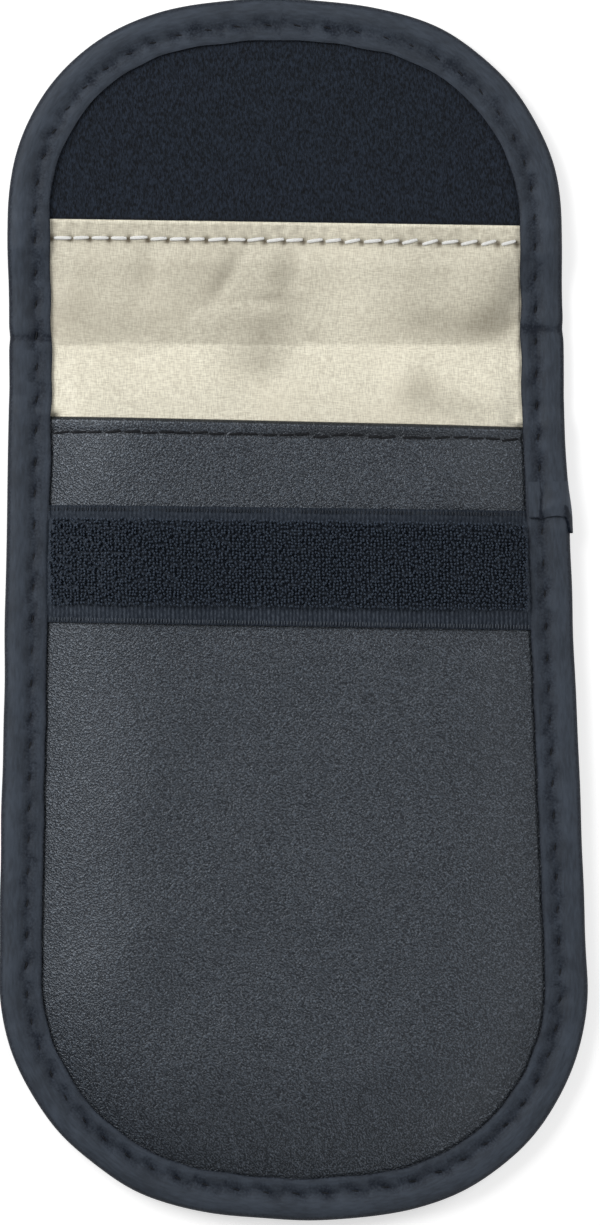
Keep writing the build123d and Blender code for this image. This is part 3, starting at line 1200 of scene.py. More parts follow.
@dataclass(frozen=True)
class Lining:
    """One pale cloth from inside the pocket over the fold to a sewn hem on the loop panel.

    Attributes:
        crease_y: Place of the crease across the cloth, where the fold starts.
        hem_turned: How much of the hem is turned under.
        loop_foot: Place of the loop panel's lower edge, onto which the cloth climbs.
        ramp: Length of that climb.
        below_crease: How far the cloth stands free below the crease.
        above_crease: The same above it.
        patches_and_painted_light: How much painted shade darkens the cloth above the crease.
        lit: x, half width and share of the place above the crease where that painted shade is lighter.
        billow: x, y and height of the one round swelling.
        fringe: Distance from the binding over which the cloth comes free.
        pressed_y: Place from which the hem's row presses the cloth flat.
        edge_pucker: x and half width of the puckered place beside the right binding.
    """
    wardrobe: Wardrobe
    crease_y: float = 42.3
    mouth_y: float = 30.0
    hem_y: float = 61.72
    hem_tilt: float = -0.002
    hem_turned: float = 4.3
    loop_foot: float = 57.35
    ramp: float = 6.4
    crease_tilt: float = 0.0125
    below_crease: float = 2.0
    above_crease: float = 0.75
    patches_and_painted_light: float = 0.225
    step: float = 0.4
    hidden_step: float = 2.2
    turn: float = 0.17
    half_thick: float = 0.09
    creases: Ripples = Ripples(seed=31, shortest=7.0, longest=22.0, height=0.075)
    puckers: Ripples = Ripples(seed=32, shortest=1.0, longest=3.4, height=0.7)
    row: Stitches = Stitches(y=58.92, tilt=0.0, pitch=3.1, length=2.7, radius=0.27, slant=0.15,
                             reach=38.4, slant_more=0.16, jitter=0.07, flatness=0.45)
    folds: tuple[Fold, ...] = (
        Fold((-7.4, 57.8), (-9.2, 53.0), (-12.8, 48.8), 0.5, 3.4, 1.9),
        Fold((1.6, 57.6), (3.0, 50.0), (-6.0, 48.8), 0.36, 3.6, 1.5),
        Fold((-9.0, 43.0), (-4.6, 31.0), (1.6, 43.0), 0.26, 2.6, 4.6),
        Fold((26.5, 43.9), (33.0, 42.6), (39.0, 46.6), 0.62, 1.0, 5.6),
        Fold((33.5, 60.0), (31.0, 52.0), (28.5, 45.0), -0.2, 3.4, 5.5),
        Fold((19.2, 38.6), (19.8, 32.6), (30.0, 31.2), -0.55, 2.6, 3.6),
        Fold((-21.4, 58.6), (-20.9, 54.3), (-22.7, 50.0), 0.26, 3.2, 2.0))
    hollows: tuple[Dusk, ...] = (
        Dusk(-35.0, 47.6, 3.4, 2.6, 0.0, 0.12), Dusk(-27.0, 45.0, 13.0, 3.0, 0.0, 0.07),
        Dusk(-22.8, 54.3, 1.8, 3.4, 0.0, 0.12), Dusk(29.0, 44.4, 8.0, 1.5, 0.0, 0.12),
        Dusk(-10.2, 53.0, 4.6, 1.3, 58.0, 0.28), Dusk(-0.4, 53.2, 2.3, 4.2, 0.0, 0.2),
        Dusk(-2.2, 49.9, 3.6, 0.8, 0.0, 0.22), Dusk(-3.2, 45.6, 4.8, 2.6, 0.0, 0.2),
        Dusk(-4.2, 39.8, 5.0, 3.4, 0.0, 0.38), Dusk(4.2, 43.8, 0.9, 0.9, 0.0, 0.14),
        Dusk(34.6, 51.5, 4.4, 6.5, -15.0, 0.26), Dusk(32.4, 46.4, 5.0, 2.6, 14.0, 0.27),
        Dusk(23.5, 46.4, 5.2, 2.2, 0.0, 0.18), Dusk(21.4, 35.4, 3.0, 3.2, -24.0, 0.29),
        Dusk(28.5, 33.0, 5.6, 2.4, -14.0, 0.22), Dusk(-8.2, 34.6, 2.6, 1.6, 0.0, 0.09))
    lit: tuple[float, float, float] = (9.8, 6.5, 0.6)
    billow: tuple[float, float, float] = (34.0, 51.0, 1.1)
    fringe: float = 4.5
    corner_lift: float = 0.8
    pressed_y: float = 58.6
    edge_pucker: tuple[float, float] = (37.4, 1.2)

    def _climb(self, y: Array) -> Array:
        """Share of the climb onto the loop panel."""
        return smooth(self.loop_foot - self.ramp, self.loop_foot + 0.1, y)

    def _middle(self, y: Array) -> Array:
        """Height of the cloth's middle at each y, where the binding holds it."""
        rest = LAYERS.lining_low + self.half_thick + 0.01
        return rest + (LAYERS.loop_top + 0.12 - rest) * self._climb(y)

    def _loose(self, x: Array, y: Array) -> Array:
        """How far the cloth lies above its held height between the bindings.

        Args:
            x: Places across the pouch.
            y: Places along it.

        Returns:
            The height at each place.
        """
        held = np.abs(x) - OUTLINE.half_width(y, LAYERS.binding_width)
        line = self._crease_line(x)
        down = unit((line - y) / (line - self.mouth_y))
        inside = 1.0 - smooth(self.mouth_y, self.mouth_y - 24.0, y)
        up = np.clip((y - line) / (self.loop_foot - line), 0.0, 1.6)
        climb = (LAYERS.loop_top - LAYERS.bare_top) * (unit(up) - self._climb(y))
        swell = self.above_crease * up * (1.0 - smooth(54.6, self.pressed_y, y))
        rise = self.below_crease * down * inside + climb + swell
        shown = window(y, self.mouth_y, self.mouth_y + 6.0, 56.5, self.pressed_y)
        wrinkles = self.creases.at(x, y) - sum(fold.sink(x, y) for fold in self.folds)
        across, along, height = self.billow
        wrinkles = wrinkles + height * hump(x, across, 5.5) * hump(y, along, 5.0)
        loose = rise * smooth(0.2, -self.fringe, held) + wrinkles * shown * smooth(0.2, -2.0, held)
        mouth = self.mouth_y + 0.2 + OUTLINE.mouth_tilt * x
        corner = self.corner_lift * window(y, mouth - 0.3, mouth + 0.5, mouth, mouth + 3.2)
        pucker = hump(x, *self.edge_pucker) * window(y, 36.0, 40.0, 52.0, 56.0)
        pucker = pucker * (0.4 + 0.25 * np.sin(y * 1.35))
        return np.maximum(loose, corner * smooth(-4.0, -0.4, held)) + pucker * smooth(0.0, -0.8, held)

    def _crease_line(self, x: Array) -> Array:
        """Where the fold line crosses each x, a little crooked."""
        return self.crease_y + self.crease_tilt * x + 0.06 * np.sin(x * 0.41)

    def _grid(self) -> tuple[Array, ...]:
        """Places, heights and normals of the cloth's middle, row by row along the cloth.

        Returns:
            x, y, z, the normal's y and z, and the distance along the cloth.
        """
        top_end = self.hem_y - self.turn
        hidden = steps(POCKET_FOOT, self.mouth_y - 12.0, self.hidden_step)
        shown = steps(self.mouth_y - 12.0, top_end, self.step)[1:]
        bend = np.linspace(math.pi / 2, -math.pi / 2, 7)[1:]
        back = steps(top_end, self.hem_y - self.hem_turned, 1.0)[1:]
        y = np.concatenate([hidden, shown, top_end + self.turn * np.cos(bend), back])
        z = self._middle(np.concatenate([hidden, shown]))
        z = np.concatenate([z, z[-1] - self.turn + self.turn * np.sin(bend),
                            np.full(len(back), z[-1] - 2 * self.turn)])
        y, z, normal_y, normal_z, along = (part[:, None] for part in (y, z, *follow(y, z)))
        full = OUTLINE.half_width(y, LAYERS.sheet_edge)
        lap = OUTLINE.half_width(y, LAYERS.binding_width - 0.9)
        wide = full + (lap - full) * smooth(53.5, 56.5, y)
        x = steps(-1.0, 1.0, 2 * self.step / OUTLINE.flap_width) * wide
        tilted = y + self.hem_tilt * x * smooth(45.0, 58.0, y)
        return tuple(np.broadcast_arrays(x, tilted, z, normal_y, normal_z, along))

    def _shade(self, x: Array, y: Array, front: Array) -> Array:
        """Painted shade of the cloth: in the needle holes, under the row, in the puckers above it, above
        the crease and in the hollows, lightened by a painted highlight along the hem's edge.

        Args:
            x: Places across the pouch.
            y: Places along it.
            front: Whether each place is on the cloth's shown side.

        Returns:
            The shade at each place, from 0 to 1.
        """
        # Painted shade in the needle holes and a painted shadow under the row
        shade = np.where(front, self.row.dents(x + 0.15, y + 0.2, 1.25, 0.5), 0.0)
        shade = shade + 0.2 * hump(y, self.row.y - 0.48, 0.26)
        # Painted shade in the puckers of the strip above the row
        strip = smooth(self.row.y - 0.4, self.row.y + 0.3, y) * front
        shade = shade + strip * (0.1 + 0.09 * self.puckers.at(x, y))
        # A painted highlight along the hem's turned edge
        shade = shade - 0.4 * hump(y, self.hem_y - 0.18 + self.hem_tilt * x, 0.2) * front
        # Painted shade above the crease, lighter in one place and towards the right, and in the hollows
        middle_x, wide, share = self.lit
        above = smooth(-0.12, 0.12, y - self._crease_line(x)) * (1.0 - share * hump(x, middle_x, wide))
        above = above * (1.0 - smooth(24.0, 34.0, x) * 0.3)
        hollows = sum(hollow.at(x, y) for hollow in self.hollows) * (
            1.0 - smooth(57.0, self.pressed_y, y))
        return unit(0.8 * shade + self.patches_and_painted_light * above + np.where(front, hollows, 0.0))

    def build(self) -> None:
        """Makes the lining and the white stitches of its hem."""
        x, y, z, normal_y, normal_z, along = self._grid()
        front = normal_z > 0.0
        dents = self.row.dents(x, y, 0.1, 0.5)
        lip = 0.05 * hump(y, self.hem_y - 1.2, 0.9) + 0.07 * hump(
            y, self.hem_y - 0.35 + self.hem_tilt * x, 0.22)
        middle = places(x, y, z + np.where(front, self._loose(x, y) - dents + lip, 0.0))
        offset = places(0.0, normal_y, normal_z) * self.half_thick
        cloth = thick_cloth(middle + offset, middle - offset, self._shade(x, y, front),
                            places(x, along, 0.0))
        make_sheet("lining_sheet", cloth, self.wardrobe.lining, Rides.BOTH,
                   ("back_lining", "fold_lining", "flap_lining"), (SHEET_WIDTH, float(along.max())),
                   Held.FOLDED, "back_shield_cloth", "loop_cloth_panel")
        row = self.row.sew(lambda x, y: self._middle(y) + self.half_thick)
        make_piece("white_hem_stitches", row, self.wardrobe.white_thread, Rides.FLAP)


@dataclass(frozen=True)
class FrontPanel:
    """The pocket's leather front with its turned and sewn mouth, and the two cloths behind it.

    Attributes:
        hem_depth: How much of the mouth is turned under.
        hem_leather: Thickness of the leather there, where it is pared.
        turn: Radius of the turn.
        notch_inset: Inset of the turned part's ends.
    """

    wardrobe: Wardrobe
    mouth_y: float = 30.04
    hem_depth: float = 5.4
    hem_leather: float = 0.5
    turn: float = 0.52
    notch_inset: float = 8.6
    step: float = 0.55
    cloth_step: float = 1.6
    row: Stitches = Stitches(y=27.72, tilt=-0.0042, pitch=2.75, length=2.6, radius=0.19, slant=0.05,
                             reach=37.8, seed=8, sink=0.42, crown=0.0, jitter=0.2)

    def _seam(self, x: Array, y: Array) -> Array:
        """Relief of the mouth's seam and of the swelling above it.

        Args:
            x: Places across the pouch.
            y: Places along it.

        Returns:
            The relief at each place.
        """
        row_y = self.row.level(x)
        drawn_in = 0.1 * hump(y, row_y, 0.4) + self.row.dents(x, y, 0.2, 0.42)
        return 0.1 * hump(y, row_y + 1.25, 0.75) - drawn_in

    def _profile(self) -> tuple[Array, ...]:
        """The leather's middle along the pouch, over the turned mouth and back under it.

        Returns:
            y, height against the bound edge, the normal's y and z, distance along, thickness, and
            how far round the turn each row is, from 0 to 1.
        """
        crown = LAYERS.front_top - LAYERS.leather / 2
        top_end = self.mouth_y - self.turn - 0.3
        top_y = steps(POCKET_FOOT, top_end, self.step)
        bend = np.linspace(math.pi / 2, -math.pi / 2, 9)
        back_y = steps(top_end, self.mouth_y - self.hem_depth, 1.0)[1:]
        y = np.concatenate([top_y, top_end + (self.turn - 0.1) * np.cos(bend), back_y])
        z = np.concatenate([np.full(len(top_y), crown), crown - self.turn + self.turn * np.sin(bend),
                            np.full(len(back_y), crown - 2 * self.turn)])
        turned = np.concatenate([np.zeros(len(top_y)), np.linspace(0.0, 1.0, len(bend)),
                                 np.ones(len(back_y))])
        thick = LAYERS.leather + (self.hem_leather - LAYERS.leather) * turned
        return y, z, *follow(y, z), thick, turned

    def _leather(self) -> Cloth:
        """The leather front.

        Returns:
            The leather with its turned mouth.
        """
        y, z, normal_y, normal_z, along, thick, turned = (part[:, None] for part in self._profile())
        full = OUTLINE.half_width(y, LAYERS.sheet_edge)
        narrow = OUTLINE.half_width(y, self.notch_inset)
        x = steps(-1.0, 1.0, 2 * self.step / OUTLINE.pocket_width) * (
            full + (narrow - full) * smooth(0.5, 0.85, turned))
        y = y + OUTLINE.mouth_tilt * x * smooth(self.mouth_y - 16.0, self.mouth_y - 3.0, y)
        z = z + SWELL.rise(x, np.minimum(y, self.mouth_y))
        middle = places(x, y, z + np.where(turned < 0.01, self._seam(x, y), 0.0))
        offset = places(0.0, normal_y, normal_z) * (thick / 2)[..., None]
        row_y = self.row.level(x)
        # Painted shade along the mouth's row and in its needle holes, on the turned part, beside the
        # binding's lip and along the mouth's turned edge; a darker band lies just above the row, right of
        # the middle.
        shade = 0.7 * hump(y, row_y, 0.26) + 0.6 * self.row.dents(x, y, 1.0, 0.34)
        shade = shade + 0.85 * window(x, -6.0, 6.0, 18.0, 31.0) * hump(y, row_y + 0.6, 0.75)
        shade = np.where(turned < 0.01, shade, 0.75)
        shade = shade + 0.75 * hump(OUTLINE.inset(x, y), LAYERS.binding_width, 0.4)
        shade = shade + 0.5 * hump(y, self.mouth_y - self.turn + OUTLINE.mouth_tilt * x, 0.14)
        return thick_cloth(middle + offset, middle - offset, unit(shade), places(x, along, 0.0))

    def _inner(self, low: float, thick: float) -> Cloth:
        """A cloth behind the leather, up to the turned mouth.

        Args:
            low: Height of its underside where it is bound.
            thick: Its thickness.

        Returns:
            The cloth.
        """
        x, y = sheet_grid(POCKET_FOOT, self.mouth_y - 1.6, self.cloth_step, OUTLINE.pocket_width)
        z = low + SWELL.rise(x, y)
        return thick_cloth(places(x, y, z + thick), places(x, y, z), np.zeros(x.shape))

    def build(self) -> None:
        """Makes the leather, its mouth stitches, the lining and the shield behind it."""
        length = self.mouth_y - OUTLINE.bottom_y - LAYERS.sheet_edge
        make_sheet("front_leather_sheet", self._leather(), self.wardrobe.front, Rides.POCKET,
                   ("front_panel",), (SHEET_WIDTH, length + self.hem_depth + 1.6), Held.STRETCHED,
                   "edge_binding")
        row = self.row.sew(lambda x, y: SWELL.front(x, y) + self._seam(x, y) - 0.02)
        make_piece("mouth_stitches", row, self.wardrobe.dark_thread, Rides.POCKET)
        for name, node, low, thick, finish, under in (
                ("front_lining_sheet", "front_lining", LAYERS.bare_top + 0.02, LAYERS.lining - 0.04,
                 self.wardrobe.lining, "lining_sheet"),
                ("front_shield_cloth", "front_shield", LAYERS.bare_top + LAYERS.lining + 0.01,
                 LAYERS.shield - 0.03, self.wardrobe.shield, "front_lining_sheet")):
            make_sheet(name, self._inner(low, thick), finish, Rides.POCKET, (node,),
                       (SHEET_WIDTH, length), Held.STRETCHED, under)


@dataclass(frozen=True)
class HookTape:
    """The woven strip across the front with its field of hooks.

    Attributes:
        upper_bare: Width of the upper selvedge, which bears no hooks.
        lower_bare: Width of the lower one.
        ground: The tape's thickness.
        hook_height: Height of the hooks over the ground.
        hook_pitch: Hook to hook.
        hook_stray: How far they stand out of their rows.
    """
    wardrobe: Wardrobe
    top_y: float = 16.16
    low_y: float = -2.68
    low_tilt: float = -0.0042
    upper_bare: float = 2.15
    lower_bare: float = 2.9
    ground: float = 0.5
    hook_height: float = 0.93
    rib_pitch: float = 0.66
    rib_height: float = 0.06
    rib_wander: Ripples = Ripples(seed=18, shortest=3.0, longest=9.0, height=0.9)
    step: float = 0.3
    across_step: float = 0.22
    hook_pitch: float = 0.55
    hook_stray: float = 0.12
    hook_radius: float = 0.15
    seed: int = 17

    def _places(self) -> tuple[Array, Array]:
        """Grid over the tape, its edges a little out of parallel.

        Returns:
            x and y of the corners.
        """
        share = steps(0.0, 1.0, self.step / (self.top_y - self.low_y))[:, None]
        level = self.low_y + share * (self.top_y - self.low_y)
        x = steps(-1.0, 1.0, 2 * self.across_step / OUTLINE.pocket_width) * (
            OUTLINE.half_width(level, LAYERS.binding_width) + 0.5)
        return x, level + self.low_tilt * x * (1.0 - share)

    def _tape(self) -> Cloth:
        """The woven ground.

        Returns:
            The tape between the bindings.
        """
        x, y = self._places()
        base = SWELL.front(x, y)
        from_top = self.top_y - y
        from_low = y - self.low_y - self.low_tilt * x
        bare = np.maximum(1.0 - smooth(self.upper_bare - 0.3, self.upper_bare + 0.3, from_top),
                          1.0 - smooth(self.lower_bare - 0.3, self.lower_bare + 0.3, from_low))
        phase = x / self.rib_pitch * math.tau + self.rib_wander.at(x)
        ribs = self.rib_height * np.sin(phase) * bare
        edge = np.minimum(from_top, from_low)
        seam = 0.1 * hump(from_low, 0.75, 0.28) + 0.08 * hump(from_top, 0.8, 0.28)
        curl = 0.035 * hump(edge, 0.3, 0.3)
        relief = 0.03 * np.sin(x / 0.62 * math.tau) * np.sin(y / 0.6 * math.tau) * (1.0 - bare)
        z = base + self.ground + ribs - seam - curl + relief
        # Painted shade at the tape's edges, in the rib valleys and on the ground between the hooks; the
        # upper selvedge is darker.
        lower = from_low < from_top
        ribbed = bare * (0.5 + 0.5 * lower) * (0.5 - 0.5 * np.sin(phase))
        line = np.where(lower, 1.6, 0.15) * hump(edge, 0.0, 0.24)
        shade = line + 0.1 * (1.0 - bare) + ribbed + 0.3 * bare * (from_low > from_top)
        return thick_cloth(places(x, y, z), places(x, y, base + 0.02), unit(shade))

    def _hooks(self) -> Cloth:
        """The hooks, in columns that lean by turns up and down.

        Returns:
            All the hooks.
        """
        random = np.random.default_rng(self.seed)
        low = self.low_y + self.lower_bare + 0.2
        rows = steps(low, self.top_y - self.upper_bare - 0.2, self.hook_pitch * 0.9)
        reach = float(OUTLINE.half_width(np.array([low]), LAYERS.binding_width)[0])
        columns = steps(-reach, reach, self.hook_pitch)
        odd = np.arange(len(columns)) % 2
        x, y, odd = (part.ravel() for part in np.broadcast_arrays(
            columns, rows[:, None] + odd * self.hook_pitch * 0.45, odd))
        inside = np.abs(x) < OUTLINE.half_width(y, LAYERS.binding_width + 0.2)
        x, y, odd = x[inside], y[inside], odd[inside]
        x = x + random.normal(0.0, self.hook_stray * 0.8, len(x))
        y = y + random.normal(0.0, self.hook_stray, len(y))
        turn = random.normal(math.pi / 2, 0.5, len(x)) + odd * math.pi
        tall = self.hook_height * (1.0 - np.abs(random.normal(0.0, 0.07, len(x))))
        # From foot to tip: reach in mm, share of the height and thickness
        out = np.array([0.0, 0.01, 0.04, 0.12, 0.22, 0.26])
        up = np.array([-0.05, 0.45, 0.8, 0.93, 0.78, 0.52])
        way_x, way_y = np.cos(turn)[:, None], np.sin(turn)[:, None]
        z = (SWELL.front(x, y) + self.ground)[:, None] + tall[:, None] * up
        paths = places(x[:, None] + way_x * out, y[:, None] + way_y * out, z)
        radius = self.hook_radius * np.array([1.25, 1.0, 1.0, 1.0, 0.95, 0.7])
        cloth = threads(paths, places(-way_y, way_x, 0.0)[:, 0], radius, 4)
        cloth.weave = cloth.points.copy()
        dull = 1.0 - random.uniform(0.0, 1.0, len(x)) ** 1.6
        cloth.shade = np.repeat(dull, len(cloth.points) // len(x))
        return cloth

    def _seams(self) -> Cloth:
        """Small threads of the two rows that hold the tape.

        Returns:
            The threads.
        """
        parts = []
        for row_y, tilt, seed, shade in ((self.low_y + 0.5, self.low_tilt, 41, 0.25),
                                         (self.top_y - 0.6, 0.0, 42, 0.75)):
            row = Stitches(y=row_y, tilt=tilt, pitch=0.48, length=0.6, radius=0.07, slant=1.5,
                           reach=38.6, seed=seed, sink=0.2, crown=0.02, jitter=0.05)
            parts.append(row.sew(lambda x, y: SWELL.front(x, y) + self.ground
                                 + 0.05 * self.rib_wander.at(x * 0.5, y)))
            parts[-1].shade += shade
        return Cloth.joined(parts)

    def build(self) -> None:
        """Makes the ground, the hooks and the seams."""
        tape = self._tape()
        flat = (self.top_y - self.low_y, 2 * float(np.abs(tape.points[:, 0]).max()))
        make_sheet("hook_tape_ground", tape, self.wardrobe.hook_ground, Rides.POCKET, ("hook_tape",),
                   flat, Held.LAID, "front_leather_sheet")
        make_piece("hook_field_hooks", self._hooks(), self.wardrobe.hooks, Rides.POCKET, "hook_field")
        make_piece("hook_tape_stitches", self._seams(), self.wardrobe.pale_thread, Rides.POCKET)


@dataclass(frozen=True)
class EdgeBinding:
    """One tape folded round the whole edge, sewn through a groove, its end lapped on the right.

    Attributes:
        slot_end: Inset of the slot's end, where the sheets' edges lie.
        puff: How far the tape swells between its outer roll and the groove.
        roll: Inset of the roll's highest line.
        groove_inset: Seam to the lip.
        pitch: Stitch to stitch.
        hem_lift: How far the lining's hem lifts the tape.
        lap_top_y: Place where the lapped end starts.
        lap_end_y: Place of its end on top.
        lap_under_y: Place of its end underneath.
        lap_tape: How far it stands over the tape under it.
    """
    wardrobe: Wardrobe
    step: float = 0.42
    slot_end: float = 1.1
    puff: float = 0.34
    roll: float = 2.2
    groove_inset: float = 2.4
    groove_depth: float = 0.3
    groove_width: float = 0.78
    pitch: float = 5.05
    dimple_depth: float = 0.14
    dimple_length: float = 0.85
    mouth_y: float = 30.2
    hem_lift: float = 0.42
    kink_left_y: float = 42.9
    kink_right_y: float = 45.3
    seed: int = 55
    lap_top_y: float = 21.0
    lap_end_y: float = 15.25
    lap_under_y: float = 12.7
    lap_tape: float = 0.42
    wander: Ripples = Ripples(seed=51, shortest=9.0, longest=38.0, height=0.05)
    lip_wander: Ripples = Ripples(seed=52, shortest=4.0, longest=15.0, height=0.06)
    swell: Ripples = Ripples(seed=53, shortest=3.5, longest=14.0, height=0.035)
    shade_blotches: Ripples = Ripples(seed=54, shortest=1.6, longest=6.0, height=0.7)

    @property
    def seam(self) -> float:
        """Inset of the seam."""
        return LAYERS.binding_width - self.groove_inset

    def _kink_y(self, x: Array) -> Array:
        """Where the tape kinks at the fold, on the left and on the right."""
        return np.where(x < 0.0, self.kink_left_y, self.kink_right_y)

    def _stack(self, x: Array, y: Array) -> Array:
        """Height of the sheets inside the binding.

        Args:
            x: Places across the pouch.
            y: Places along it.

        Returns:
            The height at each place.
        """
        mouth = self.mouth_y + OUTLINE.mouth_tilt * x
        pocket = (LAYERS.front_top - LAYERS.bare_top) * (1.0 - smooth(mouth, mouth + 3.2, y))
        flap = (LAYERS.loop_top - LAYERS.bare_top) * smooth(
            OUTLINE.fold_y + OUTLINE.fold_half + 0.2, 57.2, y)
        hem = self.hem_lift * (smooth(55.4, 57.6, y) - smooth(61.4, 63.0, y))
        return LAYERS.bare_top + pocket + flap + hem

    def _insets(self) -> Array:
        """Insets of the section's upper points.

        Returns:
            The insets, from the lip over the seam to the roll.
        """
        near = np.array([1.0, 0.72, 0.5, 0.34, 0.2, 0.08, 0.0, -0.08, -0.2, -0.34, -0.52, -0.8, -1.2])
        lip = np.array([0.0, 0.05, 0.16, 0.5, 0.95])
        return np.concatenate([LAYERS.binding_width - lip, self.seam + near,
                               [self.roll + 0.5, self.roll]])

    def _stitching(self, edge: EdgeLine) -> tuple[Array, ...]:
        """How the stitches pull at the tape.

        Args:
            edge: The edge line.

        Returns:
            At each step of the edge, in one column: distance from the nearest stitch's middle, that
            stitch's force, and its slant.
        """
        random = np.random.default_rng(self.seed)
        count = round(edge.length / self.pitch)
        turn = edge.along / edge.length * count
        number = turn.astype(int) % count
        force = random.uniform(0.55, 1.15, count)[number]
        shift = random.normal(0.0, 0.25, count)[number]
        slant = random.normal(0.2, 0.1, count)[number]
        return tuple(part[:, None] for part in ((turn % 1.0 - 0.5) * self.pitch - shift, force, slant))

    def _shape(self, edge: EdgeLine) -> tuple[Array, Array, Array]:
        """Section of the binding at each step of the edge, from its upper lip round to its lower lip.

        Args:
            edge: The edge line.

        Returns:
            (steps, section) insets, heights and shades.
        """
        x, y = edge.points.T
        top = (self._stack(x, y) + LAYERS.tape)[:, None]
        inset = self._insets()[None, :]
        seam, roll, lip = self.seam, self.roll, LAYERS.binding_width
        place, force, slant = self._stitching(edge)

        # Upper face: groove with its dents, swell, lip, kinks at the fold and bulge below the lap
        stitch = force * hump(place, 0.0, self.dimple_length)
        across = inset - seam - slant * np.clip(place, -1.2, 1.2)
        groove = self.groove_depth * (0.75 + 0.25 * stitch) * hump(across, 0.0, self.groove_width)
        groove = groove + self.dimple_depth * stitch * hump(across, 0.0, 0.4)
        crown = self.puff * (1.1 - 0.15 * stitch) * smooth(seam - 0.1, roll, inset)
        lip_shape = 0.07 * hump(inset, lip - 1.1, 0.7) - 0.16 * smooth(lip - 0.3, lip, inset)
        uneven = self.swell.at(edge.along)[:, None] * smooth(seam, roll, inset)
        move = self.lip_wander.at(edge.along)[:, None] * smooth(seam + 0.4, lip, inset)
        kink_y = self._kink_y(x)
        kink = (hump(y, kink_y, 0.75) - 0.45 * hump(y, kink_y + 1.7, 1.0))[:, None]
        bulge = np.where(x > 0.0, hump(y, self.lap_end_y - 1.9, 1.0), 0.0)[:, None]
        bulge = 0.22 * bulge * smooth(seam - 0.2, roll + 0.4, inset)
        upper_z = top - groove + crown + lip_shape + uneven + bulge - 0.17 * kink

        # Outer roll, then the flat underside
        middle = (top + self.puff) / 2
        angle = np.linspace(math.pi / 2, -math.pi / 2, 17)[1:-1]
        out, up = (np.sign(part) * np.abs(part) ** (2.0 / 2.35) for part in (np.cos(angle), np.sin(angle)))
        roll_z = middle + up * np.where(up > 0.0, upper_z[:, -1:] - middle, middle)
        low_u = np.array([roll, 3.0, seam - 0.35, seam, seam + 0.35, 5.4, 6.2, 6.66, 6.78])
        low_z = 0.13 * hump(low_u, seam, 0.4) + np.array([0, 0, 0, 0, 0, 0, 0, 0.02, 0.12])

        # Painted shade: a blotchy dark band along the seam, spots at the stitches for their thread and the
        # shade in their dimples, a line at the lip's edge with the lip's side of the seam darker, the
        # kinks, and the roll's outer edge
        blotchy_shade = 0.12 * self.shade_blotches.at(edge.along)[:, None]
        arch = smooth(70.0, 82.0, y)[:, None]
        band = (0.5 + (0.8 + 0.6 * arch) * blotchy_shade) * hump(across / (1.3 + 0.3 * arch), 0.0, 1.0)
        spots = (0.42 - 0.24 * arch) * force * hump(place, 0.0, 0.95) * hump(across, 0.0, 0.36)
        edges = 0.75 * hump(inset, lip, 0.16) + 0.13 * smooth(seam + 0.3, seam + 1.0, inset)
        dusk = 0.55 * unit(kink)
        ones = np.ones_like(top)
        return (np.concatenate([inset + move, (roll - out * roll) * ones, low_u * ones], axis=1),
                np.concatenate([upper_z, roll_z, low_z * ones], axis=1),
                np.concatenate([unit(band + spots + (1.0 - arch) * edges + dusk),
                                unit(smooth(0.55, 0.95, out) * (up > -0.7) + dusk),
                                0.0 * low_u * ones], axis=1))

    def _inside(self, stack: Array) -> tuple[Array, Array]:
        """The tape's inner face, from the lower lip round to the upper one.

        Args:
            stack: (steps, 1) height of the sheets inside.

        Returns:
            (steps, section) insets and heights.
        """
        ones = np.ones_like(stack)
        low = LAYERS.tape - 0.02 + np.array([0.0, 0.0, 0.0, 0.15])
        u = np.array([6.7, 4.0, self.slot_end + 0.1, self.slot_end, self.slot_end, self.slot_end + 0.1,
                      4.0, 6.6])
        return u * ones, np.concatenate([low * ones, stack + [-0.13, 0.02, 0.02, 0.02]], axis=1)

    def _outward(self, edge: EdgeLine) -> Array:
        """How far the edge strays outward.

        Args:
            edge: The edge line.

        Returns:
            The distance at each step.
        """
        x, y = edge.points.T
        stray = self.wander.at(edge.along) - 0.16 * hump(y, self._kink_y(x), 1.1)
        return stray + 0.12 * np.where(x > 0.0, hump(y, self.lap_end_y + 1.0, 6.0), 0.0)

    def _placed(self, line: list[Array], stray: Array, u: Array, z: Array) -> Array:
        """Corners of a part of the binding.

        Args:
            line: x, y and the inward direction's x and y on the edge.
            stray: How far the edge strays outward there.
            u: Insets.
            z: Heights.

        Returns:
            The corners.
        """
        x, y, inward_x, inward_y = line
        inset = u - stray * (1.0 - smooth(1.0, 6.0, u))
        return places(x + inward_x * inset, y + inward_y * inset, z)

    def _tape(self, edge: EdgeLine) -> Cloth:
        """The whole tape.

        Args:
            edge: The edge line.

        Returns:
            The tape, closed round the pouch and round its own section.
        """
        u, z, shade = self._shape(edge)
        inner_u, inner_z = self._inside(self._stack(*edge.points.T)[:, None])
        u = np.concatenate([u, inner_u], axis=1)
        z = np.concatenate([z, inner_z], axis=1)
        shade = np.concatenate([shade, np.zeros_like(inner_u)], axis=1)
        line = [part[:, None] for part in (*edge.points.T, *edge.inward.T)]
        corners = self._placed(line, self._outward(edge)[:, None], u, z)
        index = np.arange(u.size).reshape(u.shape)
        ahead = np.roll(index, -1, axis=0)
        faces = np.stack([index, np.roll(index, -1, axis=1), np.roll(ahead, -1, axis=1), ahead], axis=-1)
        weave = places(walk(u[0], z[0]), edge.along[:, None], 0.0)
        return Cloth(corners.reshape(-1, 3), faces.reshape(-1, 4).tolist(), weave.reshape(-1, 3),
                     shade.ravel())

    def _stitch_threads(self, edge: EdgeLine) -> Cloth:
        """A dark thread in each dimple, above and below.

        Args:
            edge: The edge line.

        Returns:
            The threads.
        """
        count = round(edge.length / self.pitch)
        at = (np.arange(count)[:, None] + 0.5) / count * edge.length
